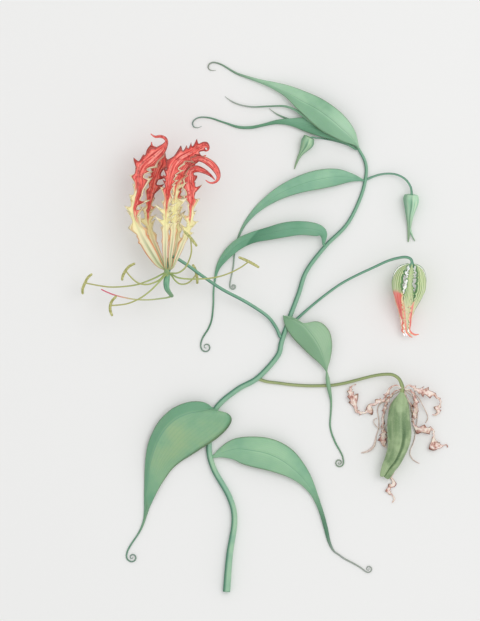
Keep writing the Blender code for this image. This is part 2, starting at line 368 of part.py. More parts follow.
# Withered filaments round the pod: x, y, z, radius
WITHERED_FILAMENTS = {
    "withered_filament_1": (
        (80.2, -38.4, 4.6, 0.4), (76.2, -40.8, 2.6, 0.4), (72, -43.8, 1.2, 0.4), (68.1, -46.8, 0.6, 0.4),
        (67.1, -50.4, 0.45, 0.4), (67.9, -55.2, 0.45, 0.4), (67.9, -60.6, 0.45, 0.4),
        (66.5, -64.8, 0.45, 0.4), (65.9, -68.4, 0.6, 0.7), (64.6, -72, 0.8, 0.9), (61.5, -74.5, 0.7, 0.8),
        (57.6, -75.5, 0.6, 0.4),
    ),
    "withered_filament_2": (
        (80.8, -39.4, 3, 0.35), (77.4, -43.2, 1.6, 0.35), (74.5, -47.4, 0.6, 0.35),
        (73.8, -52.8, 0.5, 0.35), (73.5, -57, 0.9, 0.35), (71.8, -59.8, 1.6, 0.35),
        (69.9, -60.5, 1.8, 0.35), (68, -60.5, 1.8, 0.35), (66.1, -59.2, 1.5, 0.35), (64.8, -57, 1.2, 0.35),
        (65.4, -55.2, 0.9, 0.35), (66.6, -54.8, 0.7, 0.35),
    ),
    "withered_filament_3": (
        (83.8, -37.8, 6.8, 0.4), (86.3, -38.6, 6, 0.4), (88.9, -39.8, 5, 0.38), (91.3, -42, 3.6, 0.36),
        (93.2, -45, 2.8, 0.35), (95.2, -48.8, 2, 0.35), (97.1, -52.8, 1.2, 0.35), (97.2, -55.4, 0.7, 0.35),
        (96.1, -57.4, 0.5, 0.35),
    ),
    "withered_filament_4": (
        (84, -38.5, 5.4, 0.4), (87.4, -41.4, 4.6, 0.38), (90.2, -46.2, 3, 0.36), (91.1, -51.6, 1.6, 0.35),
        (90.8, -57, 0.8, 0.35), (90, -61.8, 0.45, 0.35), (89.6, -66, 0.45, 0.35),
        (88.4, -70.2, 0.45, 0.35), (86.9, -73.8, 0.45, 0.35), (86.8, -76.9, 0.45, 0.35),
        (88.8, -79.9, 0.45, 0.33), (92.2, -81.8, 0.45, 0.3),
    ),
}


def clear_scene():
    for thing in list(bpy.data.objects):
        bpy.data.objects.remove(thing)


def material(name, colour, roughness):
    """A plain material; colour is sRGB, as "#rrggbb"."""
    def linear(channel):
        return channel / 12.92 if channel <= 0.04045 else ((channel + 0.055) / 1.055) ** 2.4

    made = bpy.data.materials.new(name)
    made.use_nodes = True
    shader = made.node_tree.nodes["Principled BSDF"]
    red, green, blue = (linear(int(colour[i:i + 2], 16) / 255) for i in (1, 3, 5))
    shader.inputs["Base Color"].default_value = (red, green, blue, 1)
    shader.inputs["Roughness"].default_value = roughness
    shader.inputs["Metallic"].default_value = 0
    made.diffuse_color = (red, green, blue, 1)
    return made


def smooth_route(rows, per_span):
    """Rows read from a smooth curve through the given rows, per_span to each span."""
    read = []
    last = len(rows) - 1
    for i in range(last):
        before, start = rows[max(i - 1, 0)], rows[i]
        end, after = rows[i + 1], rows[min(i + 2, last)]
        for step in range(per_span):
            t = step / per_span
            read.append(tuple(
                0.5 * (2 * b + (c - a) * t + (2 * a - 5 * b + 4 * c - d) * t ** 2
                       + (3 * b - a - 3 * c + d) * t ** 3)
                for a, b, c, d in zip(before, start, end, after)))
    read.append(tuple(rows[-1]))
    return read


def even_route(rows, spacing):
    """Rows at an even spacing along the smooth curve through the given rows."""
    fine = smooth_route(rows, 12)
    lengths = [0]
    for a, b in zip(fine, fine[1:]):
        lengths.append(lengths[-1] + (Vector(b[:3]) - Vector(a[:3])).length)
    count = max(round(lengths[-1] / spacing), 1)
    read, k = [], 0
    for i in range(count):
        wanted = lengths[-1] * i / count
        while lengths[k + 1] < wanted:
            k += 1
        share = (wanted - lengths[k]) / (lengths[k + 1] - lengths[k])
        read.append(tuple(a + (b - a) * share for a, b in zip(fine[k], fine[k + 1])))
    read.append(fine[-1])
    return read


def coil(last_row, centre_x, centre_y, turns, inner_radius):
    """Rows that run on from the last row in a flat coil round a centre."""
    x, y = last_row[0] - centre_x, last_row[1] - centre_y
    angle, radius = math.atan2(y, x), math.hypot(x, y)
    steps = round(abs(turns) * math.tau / COIL_STEP)
    rows = []
    for i in range(1, steps + 1):
        share = i / steps
        turned = angle + turns * math.tau * share
        reach = radius + (inner_radius - radius) * share
        narrowing = 1 - 0.3 * share
        rows.append((centre_x + reach * math.cos(turned), centre_y + reach * math.sin(turned),
                     last_row[2], *(width * narrowing for width in last_row[3:])))
    return rows


def directions(rows):
    """The direction of travel at each row."""
    points = [Vector(row[:3]) for row in rows]
    last = len(points) - 1
    return [(points[min(i + 1, last)] - points[max(i - 1, 0)]).normalized()
            for i in range(len(points))]


def add_object(name, bm, look):
    """One object made from a bmesh in millimetres, lying on or above the surface."""
    for vertex in bm.verts:
        vertex.co.z = max(vertex.co.z, 0)
    bmesh.ops.scale(bm, verts=bm.verts, vec=(MM, MM, MM))
    mesh = bpy.data.meshes.new(name)
    bm.to_mesh(mesh)
    bm.free()
    mesh.materials.append(look)
    mesh.shade_smooth()
    mesh.set_sharp_from_angle(angle=math.radians(50))
    made = bpy.data.objects.new(name, mesh)
    bpy.context.scene.collection.objects.link(made)
    return made


def tube(name, rows, sides, look, radius_at=None):
    """A closed tube with flat ends along rows of x, y, z, radius. One side faces straight down.

    radius_at(share, angle) scales the radius, by the share of the way along and the angle round.
    """
    bm = bmesh.new()
    rings = []
    for i, (row, along) in enumerate(zip(rows, directions(rows))):
        centre = Vector(row[:3])
        side = UP.cross(along).normalized()
        up = along.cross(side)
        ring = []
        for k in range(sides):
            angle = -math.pi / 2 + (k + 0.5) * math.tau / sides
            radius = row[3] * (radius_at(i / (len(rows) - 1), angle) if radius_at else 1)
            ring.append(bm.verts.new(centre + (side * math.cos(angle) + up * math.sin(angle)) * radius))
        rings.append(ring)
    for ring, following in zip(rings, rings[1:]):
        for k in range(sides):
            beside = (k + 1) % sides
            bm.faces.new((ring[k], following[k], following[beside], ring[beside]))
    bm.faces.new(rings[0])
    bm.faces.new(reversed(rings[-1]))
    bmesh.ops.recalc_face_normals(bm, faces=bm.faces)
    return add_object(name, bm, look)


def blade(name, rows, thickness, look, facing=UP, droop=0, wave=None):
    """A thin sheet along rows of x, y, z, left width, right width, made solid.

    facing is the way its upper face looks. The margins hang by droop per width, and
    wave(share, side) gives how far a margin stands out, rises and leans along the blade.
    """
    bm = bmesh.new()
    lines = []
    for i, (row, along) in enumerate(zip(rows, directions(rows))):
        middle = Vector(row[:3])
        left = facing.cross(along).normalized()
        up = along.cross(left)
        line = []
        for side, width in ((1, row[3]), (0, 0), (-1, row[4])):
            out, rise, lean = wave(i / (len(rows) - 1), side) if wave and side else (0, 0, 0)
            fullness = min(width / 1.5, 1)
            line.append(bm.verts.new(middle + left * side * (width + out * fullness)
                                     + up * (rise * fullness - droop * width)
                                     + along * lean * fullness))
        lines.append(line)
    for line, following in zip(lines, lines[1:]):
        for k in range(2):
            bm.faces.new((line[k], line[k + 1], following[k + 1], following[k]))
    bmesh.ops.triangulate(bm, faces=bm.faces, quad_method="FIXED")
    bmesh.ops.recalc_face_normals(bm, faces=bm.faces)
    made = add_object(name, bm, look)
    solidify = made.modifiers.new("Thickness", "SOLIDIFY")
    solidify.thickness = thickness * MM
    solidify.offset = 0
    return made


def fuse(base, others):
    """Join other objects to the base with one Boolean union, and remove them."""
    pieces = bpy.data.collections.new(base.name + "_pieces")
    for other in others:
        pieces.objects.link(other)
    union = base.modifiers.new("Union", "BOOLEAN")
    union.operation = "UNION"
    union.operand_type = "COLLECTION"
    union.collection = pieces
    union.solver = "EXACT"
    evaluated = base.evaluated_get(bpy.context.evaluated_depsgraph_get())
    joined = bpy.data.meshes.new_from_object(evaluated)
    base.modifiers.clear()
    base.data = joined
    for other in others:
        bpy.data.objects.remove(other)
    bpy.data.collections.remove(pieces)


def crisped(length, seed):
    """A wave for the crisped margins of a tepal: pointed teeth that bend up and down by turns."""
    def wave(share, side):
        strength = min(max((share - 0.2) / 0.2, 0), 1) * min((1 - share) / 0.15, 1)
        place = share * length / TOOTH_PITCH
        place += 0.2 * math.sin(1.7 * place + seed) + (0.5 if side > 0 else 0)
        tooth, within = divmod(place, 1)
        size = strength * (1 + 0.3 * math.sin(2.7 * tooth + seed))
        point = (1 - abs(2 * within - 1)) ** 1.5
        swing = math.sin(math.pi * within) * (1 if tooth % 2 else -1)
        return TOOTH_REACH * size * point, TOOTH_RISE * size * swing, TOOTH_LEAN * size * point
    return wave


def route_length(rows):
    return sum((Vector(b[:3]) - Vector(a[:3])).length for a, b in zip(rows, rows[1:]))


def build_stem(look):
    """The stem lies on one of its eight sides, and the stalks grow out of it as one piece."""
    flat_height = math.cos(math.pi / STEM_SIDES)
    rows = [(x, y, lift + radius * flat_height, radius) for x, y, lift, radius in STEM]
    stem = tube("stem", smooth_route(rows, 2), STEM_SIDES, look)
    stalks = [tube(name + "_stalk", smooth_route(route, 2), STALK_SIDES, look)
              for name, route in STALKS.items()]
    fuse(stem, stalks)


def build_leaves(look, dark_look):
    for name, route in LEAVES.items():
        rows = smooth_route(route, 2)
        if name in COILS:
            rows += coil(rows[-1], *COILS[name])
        shade = dark_look if name in ("leaf_top_back", "leaf_side_lower") else look
        blade(name, rows, LEAF_THICKNESS, shade, droop=LEAF_DROOP)


def build_open_flower(tepal_look, filament_look, ovary_look):
    for seed, (name, (angle, route)) in enumerate(TEPALS.items()):
        facing = Vector((math.cos(math.radians(angle)), 0, math.sin(math.radians(angle))))
        rows = [(x, y, z, half, half) for x, y, z, half in even_route(route, TOOTH_PITCH / 4)]
        wave = crisped(route_length(rows), seed)
        blade(name, rows, TEPAL_THICKNESS, tepal_look, facing=facing, wave=wave)
    for name, (filament, anther) in STAMENS.items():
        stamen = tube(name, smooth_route(filament, 2), STALK_SIDES, filament_look)
        fuse(stamen, [tube(name + "_anther", anther, STALK_SIDES, filament_look)])
    ovary = tube("ovary", smooth_route(OVARY, 1), STALK_SIDES, ovary_look)
    fuse(ovary, [tube("style", smooth_route(STYLE, 1), STALK_SIDES, ovary_look)])


def build_buds(bud_look, segment_look):
    bud = tube("bud", smooth_route(BUD, 1), STEM_SIDES, bud_look)
    fuse(bud, [tube("second_tip", BUD_SECOND_TIP, STALK_SIDES, bud_look)])
    tube("tip_bud", smooth_route(TIP_BUD, 1), STEM_SIDES, bud_look)
    tube("opening_bud_pistil", OPENING_BUD_PISTIL, STALK_SIDES, bud_look)
    axis = (Vector(OPENING_BUD[-1][:3]) - Vector(OPENING_BUD[0][:3])).normalized()
    side = UP.cross(axis).normalized()
    up = axis.cross(side)
    for number, (turned, width_share) in enumerate(OPENING_BUD_SEGMENTS, start=1):
        angle = math.radians(turned)
        outward = side * math.cos(angle) + up * math.sin(angle)
        rows = [(*(Vector((x, y, z)) + outward * radius), half * width_share, half * width_share)
                for x, y, z, radius, half in smooth_route(OPENING_BUD, 2)]
        blade(f"opening_bud_segment_{number}", rows, TEPAL_THICKNESS, segment_look,
              facing=outward, droop=SEGMENT_CUPPING)


def build_pod(look):
    """A capsule of three lobes, deeper towards its end, with a groove between two on top."""
    shallow, deep = POD_LOBE_DEPTHS

    def radius_at(share, angle):
        depth = shallow + (deep - shallow) * share
        return 1 - depth * math.cos(CAPSULE_LOBES * (angle - math.radians(POD_GROOVE)))

    tube("pod", smooth_route(POD, 1), CAPSULE_SIDES, look, radius_at)


def build_withered(look):
    for name, route in WITHERED_TEPALS.items():
        rows = [(x, y, z, half, half) for x, y, z, half in smooth_route(route, 2)]
        blade(name, rows, WITHERED_THICKNESS, look)
    for name, route in WITHERED_FILAMENTS.items():
        tube(name, smooth_route(route, 2), THREAD_SIDES, look)


def main():
    clear_scene()
    build_stem(material("stem", STEM_GREEN, 0.5))
    build_leaves(material("leaf", LEAF_GREEN, 0.5), material("dark_leaf", DARK_LEAF_GREEN, 0.5))
    build_open_flower(material("tepal", TEPAL_RED, 0.5),
                      material("filament", FILAMENT_YELLOW, 0.55),
                      material("ovary", STEM_GREEN, 0.5))
    build_buds(material("bud", BUD_GREEN, 0.5), material("segment", SEGMENT_GREEN, 0.5))
    build_pod(material("pod", POD_GREEN, 0.5))
    build_withered(material("withered", WITHERED_PINK, 0.75))


main()
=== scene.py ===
import functools
import math

import bpy
import numpy as np
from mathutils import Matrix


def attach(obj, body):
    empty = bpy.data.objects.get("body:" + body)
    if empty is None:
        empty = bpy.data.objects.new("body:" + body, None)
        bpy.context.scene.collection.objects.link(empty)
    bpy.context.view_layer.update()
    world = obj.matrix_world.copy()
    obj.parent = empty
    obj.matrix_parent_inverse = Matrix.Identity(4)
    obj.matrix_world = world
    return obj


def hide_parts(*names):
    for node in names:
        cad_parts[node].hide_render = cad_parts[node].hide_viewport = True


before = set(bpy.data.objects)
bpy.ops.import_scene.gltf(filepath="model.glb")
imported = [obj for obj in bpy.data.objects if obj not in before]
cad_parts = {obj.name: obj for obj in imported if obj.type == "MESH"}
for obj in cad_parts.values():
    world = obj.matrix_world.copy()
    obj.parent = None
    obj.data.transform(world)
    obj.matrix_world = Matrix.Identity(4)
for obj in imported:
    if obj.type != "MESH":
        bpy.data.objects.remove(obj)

bl_info = {
    "name": "Glory Lily",
    "version": (1, 0, 0),
    "blender": (4, 5, 0),
    "location": "3D View > Sidebar > Glory Lily",
    "description": "Builds a cut shoot of a glory lily: leaves, flower, buds and seed pod",
    "category": "Add Mesh",
}

MM = 0.001
UP = np.array((0.0, 0.0, 1.0))
BODY = "root"
PLANT_IOR = 1.42

# ------ Routes, in millimetres, as the frame's own pieces follow them; z is above the floor

# The stem: x, y, lift above the floor, radius
STEM = (
    (-23.4, -158.7, 0, 2.2), (-21.6, -136.8, 0, 2), (-18.6, -115.8, 0, 1.75),
    (-21.6, -102, 0, 1.7), (-31.2, -84.6, 0, 1.7), (-33.9, -70.8, 0, 1.7), (-30.6, -50.4, 0, 1.65),
    (-17.4, -37.8, 0, 1.6), (-4.8, -30.6, 0, 1.6), (7.2, -17.4, 0, 1.55), (9.6, -9, 0, 1.5),
    (14.4, 5.4, 0, 1.4), (19.8, 19.8, 0.4, 1.35), (24.6, 33.6, 1.2, 1.3), (36, 48.6, 1.2, 1.2),
    (48.6, 61.2, 0.4, 1.1), (56.4, 76.2, 0, 1.05), (60, 88.8, 0, 1), (60, 98.4, 0.4, 0.95),
    (55.2, 107.7, 1.2, 0.85))

# Stalks: x, y, z, radius. Each starts inside the stem.
STALKS = {
    "flower": (
        (8.7, -5.7, 1.5, 1), (6, 0.2, 2.4, 1), (0.6, 6.9, 3.8, 1), (-11.7, 15, 8, 1),
        (-25.8, 22.5, 12.5, 0.95), (-37.2, 30.1, 17, 0.95), (-45, 35.8, 20.6, 0.95),
        (-50.1, 39.2, 22.8, 0.95), (-53.7, 41.4, 24.2, 0.95), (-56.6, 41.6, 24.4, 0.95),
        (-58, 38.8, 24.2, 1), (-57.8, 33.6, 24, 1.3)),
    "bud": (
        (60.4, 88.4, 1, 0.8), (64.2, 90, 1.4, 0.65), (67.8, 91.2, 2, 0.6), (72.6, 91.9, 2.8, 0.6),
        (77.7, 91.5, 3.6, 0.6), (82.2, 89.6, 4.2, 0.6), (85.2, 86.8, 4.5, 0.62),
        (87, 83.4, 4.6, 0.65), (87.5, 80, 4.6, 0.7)),
    "opening_bud": (
        (13.4, 1, 1.4, 0.9), (18.3, 4.4, 1.4, 0.85), (22.8, 8.4, 1.6, 0.8),
        (29.4, 14.1, 2.4, 0.75), (36.6, 19.8, 3.4, 0.75), (45, 25.8, 4.8, 0.75),
        (54.6, 31, 6.6, 0.75), (63, 34.9, 8.2, 0.75), (72, 39.1, 9.6, 0.78), (78, 41, 10.2, 0.8),
        (83.4, 41.8, 10.6, 0.82), (86.7, 40.6, 10.6, 0.85), (87.5, 37.8, 10.6, 1)),
    "pod": (
        (-4.4, -31, 1.3, 0.95), (0.6, -32.7, 1, 0.9), (7.8, -33.6, 0.9, 0.9),
        (15.6, -34.6, 0.9, 0.9), (24.6, -35.2, 0.9, 0.9), (32.4, -35.2, 0.9, 0.9),
        (40.2, -34.9, 0.9, 0.9), (48.6, -33.4, 1.4, 0.9), (57.6, -31, 2.8, 0.9),
        (64.2, -29.3, 4.4, 0.9), (70.8, -28.3, 6, 0.92), (75.9, -28.5, 7, 0.95),
        (79.4, -30.6, 7.7, 1), (81.2, -33.9, 8, 1.1), (81.9, -37.2, 8, 1.3)),
    "tip_bud": (
        (56.5, 106.1, 1.7, 0.5), (53.6, 107.6, 0.8, 0.42), (51, 108.6, 0.45, 0.4),
        (48, 109.7, 0.45, 0.4), (40.8, 111.8, 0.45, 0.4), (34.8, 112.9, 0.5, 0.4),
        (32.1, 113.3, 1.6, 0.4), (30.2, 113.2, 3.2, 0.45)),
}

# How the stalks run on into what hangs from them: x, y, z, radius
STALK_ENDS = {
    "bud": ((87.4, 78.8, 4.8, 0.75), (87.2, 77.4, 5, 0.8)),
    "opening_bud": ((87.3, 37.3, 10.7, 1.7), (87.2, 36.8, 10.8, 2.1), (87.2, 36.2, 10.8, 1.6)),
    "pod": ((81.6, -38.4, 7.9, 1.25), (81.4, -39.6, 7.8, 1.2)),
    "tip_bud": ((28.6, 113.7, 4, 0.45), (27.2, 113.5, 4.3, 0.5), (26.2, 112.4, 4.2, 0.6)),
}

# Leaves from foot to tip: x, y, z of the midrib, then the blade's width to its left and to its
# right, or one width for both. Two of them start with a blade from LEAF_MARGINS.
LEAVES = {
    "leaf_lower_left": (
        (-72.5, -114.9, 0.7, 0.8, 0.75), (-73.6, -118.5, 0.6, 0.68), (-75.5, -122.7, 0.5, 0.56),
        (-78, -126.6, 0.5, 0.5), (-80.5, -130.2, 0.5, 0.5), (-82.5, -133.7, 0.5, 0.5),
        (-83.3, -136.5, 0.5, 0.45), (-83.5, -137.8, 0.5, 0.45), (-83.1, -139.1, 0.5, 0.44),
        (-82, -140.2, 0.5, 0.43)),
    "leaf_lower_right": (
        (-32.6, -77.8, 1.7, 0.9), (-31, -77.6, 2.2, 0.9), (-25.8, -75.1, 3.8, 3.4),
        (-17.4, -72.9, 5.8, 6.4, 8), (-7.8, -73.8, 7, 8.4, 9.8), (1.8, -75.9, 7, 9.2, 9.9),
        (10.8, -80.4, 6.2, 8.8, 8.3), (18.6, -86.7, 5, 6.6, 5.4), (24.6, -93.3, 3.8, 4.2, 3.2),
        (29.4, -100.8, 2.7, 2, 1.9), (33, -109.8, 1.9, 1.4, 1.3), (35.8, -119.4, 1.2, 1.3, 1.2),
        (38.1, -128.7, 0.7, 0.95), (40.9, -134.4, 0.5, 0.55), (43.6, -136.3, 0.5, 0.5),
        (47.4, -139, 0.5, 0.48), (52.2, -141.5, 0.5, 0.46), (56.7, -144.1, 0.5, 0.43),
        (59.2, -146, 0.5, 0.4), (60.8, -147.2, 0.5, 0.38), (62, -147.4, 0.5, 0.37)),
    "leaf_fork": (
        (37.1, -30.6, 3.5, 1.2), (37.8, -36, 3, 1.3, 1.2), (38.8, -40.8, 2, 0.9),
        (39.4, -45, 1.2, 0.6), (39.2, -51, 0.6, 0.5), (38.7, -58.2, 0.5, 0.5),
        (39.3, -62.4, 0.5, 0.5), (40.5, -66, 0.5, 0.5), (42.3, -70.2, 0.5, 0.5),
        (44.4, -73.8, 0.5, 0.48), (46.1, -77.1, 0.5, 0.45), (46.8, -80.1, 0.5, 0.42)),
    "leaf_side_upper": (
        (59.4, 87.6, 1, 0.6), (58.4, 88, 1.2, 0.6), (52.2, 89.4, 3.4, 2.4),
        (42.6, 90, 5.2, 5.3, 4.8), (31.8, 88.4, 6, 5.9, 5.7), (21, 85.4, 5.6, 5, 5.3),
        (10.2, 80.9, 4.4, 3.8, 4.2), (0.9, 75.2, 3, 2.6, 2.9), (-6.3, 69.2, 1.8, 1.7, 1.9),
        (-12, 62.4, 0.8, 1, 1.1), (-15.7, 55.4, 0.5, 0.65), (-17.9, 48.6, 0.5, 0.45),
        (-18.8, 42, 0.5, 0.42), (-19.4, 36, 0.5, 0.42), (-20.6, 30, 0.5, 0.42),
        (-21.4, 26.2, 0.5, 0.42), (-21.5, 24.5, 0.5, 0.42)),
    "leaf_side_lower": (
        (35.8, 48.6, 2.8, 0.7), (34.6, 49.6, 4.4, 0.8), (35, 52.8, 5.6, 1.5),
        (34.2, 56.3, 6.8, 2.8), (30, 58.2, 7.6, 3.9), (21, 59.2, 7.8, 4.2),
        (11.4, 58.2, 7.4, 4.5, 4.4), (1.8, 56, 6.8, 4, 3.8), (-7.2, 53.8, 6.2, 3.4, 3.3),
        (-15, 50.4, 5.2, 3.3), (-21, 45.7, 3.8, 3), (-25.8, 40.2, 2.4, 2.2),
        (-28.8, 34.8, 1.4, 1.2), (-30.4, 28.2, 0.6, 0.6), (-31.2, 21, 0.5, 0.5),
        (-31.3, 13.8, 0.5, 0.5), (-32.2, 4.8, 0.5, 0.5), (-34.2, -0.9, 0.5, 0.5),
        (-37, -5.2, 0.5, 0.48), (-38.5, -8.4, 0.5, 0.45), (-38.9, -11.4, 0.5, 0.42)),
    "leaf_top_front": (
        (55.5, 107, 2.3, 0.6), (55.1, 108.7, 4.2, 0.8), (51, 114, 6.2, 5, 4),
        (45.6, 118.8, 7, 7.2, 6.2), (39, 124.5, 8, 9.2, 6.9), (30.6, 130.5, 8, 8.4, 6.8),
        (21.6, 135.3, 7, 5.6, 6.2), (13.2, 140.1, 5.5, 2.8, 4.6), (4.8, 144.1, 4, 1.6, 2.8),
        (-2.4, 146.9, 2.8, 1.1, 1.4), (-8.4, 149, 1.9, 0.9), (-13.5, 150.7, 1.2, 0.7),
        (-17.7, 152.3, 0.8, 0.6), (-21.9, 154.8, 0.5, 0.52), (-25.9, 157.2, 0.5, 0.47),
        (-29.3, 158.5, 0.5, 0.44), (-31.8, 158.8, 0.5, 0.42), (-33.8, 157.8, 0.5, 0.4),
        (-34.6, 156, 0.5, 0.38), (-33.7, 154.3, 0.5, 0.36), (-31.8, 153.7, 0.5, 0.33),
        (-29.8, 154, 0.5, 0.3)),
    "leaf_top_back": (
        (55.2, 106.8, 2, 0.5), (54, 106.4, 2.8, 0.5), (48, 110.8, 3, 1), (42, 114.1, 3.1, 2.5),
        (34.2, 118.1, 3.2, 4.3), (24.6, 121.3, 3.2, 4.2, 4.3), (15.6, 122.8, 3, 2.4, 2.3),
        (7.2, 123, 2.4, 1.4, 1.3), (-0.6, 121.3, 1.8, 0.9), (-8.4, 119.7, 1.2, 0.9),
        (-16.2, 119.9, 0.8, 0.8), (-23.4, 122.2, 0.5, 0.55), (-27.6, 123.6, 0.5, 0.5),
        (-31.8, 125.1, 0.5, 0.45), (-35.7, 125.8, 0.5, 0.42), (-39.3, 125.8, 0.5, 0.4),
        (-42.1, 124.8, 0.5, 0.38), (-43.8, 122.8, 0.5, 0.36), (-43.7, 120.9, 0.5, 0.34),
        (-42.4, 119.6, 0.5, 0.32), (-40.3, 119.5, 0.5, 0.3), (-38.2, 120.5, 0.5, 0.28)),
    "leaf_top_narrow": (
        (55.3, 107.2, 2.4, 0.5), (53.6, 109.4, 3.3, 0.5), (49.8, 111.8, 4.1, 0.8),
        (43.8, 115, 4.6, 1.2), (34.2, 119.8, 4.9, 1.8), (25.8, 124.6, 4.8, 1.3),
        (18.6, 129.6, 4, 0.8), (11.4, 132.3, 3, 0.6), (1.8, 132.3, 2, 0.5), (-7.8, 132, 1.2, 0.45),
        (-15, 133.2, 0.8, 0.42), (-20.4, 135.4, 0.5, 0.4), (-24.3, 138.3, 0.5, 0.35)),
    "leaf_top_young": (
        (55.1, 107.1, 1.8, 0.4), (53.8, 108.4, 1.7, 0.4), (49.8, 110.3, 1.5, 0.5),
        (45, 112.4, 1, 0.7), (36, 116.4, 0.65, 1), (25.8, 120.3, 0.65, 1), (18, 123.1, 0.65, 0.8),
        (11.4, 125.6, 0.65, 0.5), (6.6, 127.8, 0.65, 0.4), (2.1, 131.1, 0.65, 0.3)),
}

# Coils at the tails' ends: x, y of the middle, turns (anticlockwise is positive), inner radius
COILS = {
    "leaf_lower_left": (-79.9, -138.2, 1.5, 0.5),
    "leaf_lower_right": (61.8, -145.1, 1.4, 0.6),
    "leaf_fork": (44.2, -81.4, -1.9, 0.5),
    "leaf_side_upper": (-19.4, 24.3, 1.7, 0.4),
    "leaf_side_lower": (-35.6, -12.0, 1.4, 0.7),
}

# The broad leaves' midribs, left margins and right margins: x, y, z
LEAF_MARGINS = {
    "leaf_lower_left": ((
        (-30, -49.8, 2.2), (-31.2, -48.9, 3.6), (-34.2, -49.4, 5.8), (-39, -50.4, 7.6),
        (-45, -51.3, 8.8), (-51, -53.4, 9.4), (-55.8, -56.4, 9.7), (-60, -60.6, 9.6),
        (-63.9, -66.6, 8.8), (-66.9, -73.8, 7.2), (-69.3, -82.8, 5.2), (-70.6, -91.8, 3.4),
        (-71.5, -100.8, 2), (-71.8, -109.2, 1.2)
    ), (
        (-30, -49.8, 2.2), (-30.4, -49.2, 3.4), (-29.4, -50.1, 4.4), (-25.8, -50.6, 5.2),
        (-22.8, -51.6, 5.4), (-20.7, -53.5, 5.4), (-20.2, -55.8, 5.2), (-21.4, -58.8, 5),
        (-24.2, -62.4, 4.9), (-28.2, -66, 4.8), (-32.4, -69, 4.6), (-39, -73.2, 3.8),
        (-45, -77.1, 3), (-51, -81, 2.4), (-55.8, -85.2, 2), (-60, -90.6, 1.8),
        (-63.6, -96.3, 1.6), (-67.4, -103.8, 1.2), (-69.8, -109.2, 1)
    ), (
        (-30, -49.8, 2.2), (-31.6, -48.2, 3.6), (-34.2, -46.2, 4.2), (-37.2, -44.9, 5),
        (-40.8, -44.4, 5.6), (-45, -44.6, 6), (-49.2, -45.6, 6.2), (-53.4, -47.4, 6.2),
        (-57, -49.5, 6), (-63, -55.2, 5.2), (-67.5, -62.4, 4.2), (-70.8, -71.4, 3),
        (-72.4, -83.4, 2), (-72.8, -97.8, 1.2), (-72.8, -109.2, 0.9)
    )),
    "leaf_fork": ((
        (10.4, 6.8, 2.6), (15, 4.9, 3.3), (19.2, 3.2, 4.4), (22.8, 1.2, 5.4), (25.8, -2.1, 6.2),
        (29.4, -6.9, 6.4), (32.4, -12, 6), (34.5, -17.4, 5), (36, -22.2, 4.2), (36.6, -26.7, 3.6)
    ), (
        (10.4, 6.8, 2.6), (13.8, 6.6, 3.1), (18, 5.2, 4), (22.2, 2.6, 4.8), (24.6, 2.5, 5),
        (27, 3.1, 4.8), (30, 3.5, 4.6), (33, 2.8, 4.4), (36, 0.6, 4.2), (38.7, -3.6, 4),
        (39.8, -9.6, 3.8), (39.6, -15, 3.6), (38.6, -20.4, 3.6), (37.4, -24.3, 3.4),
        (37.1, -26.7, 3.4)
    ), (
        (10.4, 6.8, 2.6), (10.8, 3.6, 3), (12, 0, 3.6), (15, -4.8, 4.2), (18, -8.4, 4),
        (21, -11.4, 4), (24.6, -15, 3.8), (28.2, -18.3, 3.7), (31.8, -21.3, 3.6),
        (34.5, -24.3, 3.5), (36.1, -26.7, 3.4)
    )),
}

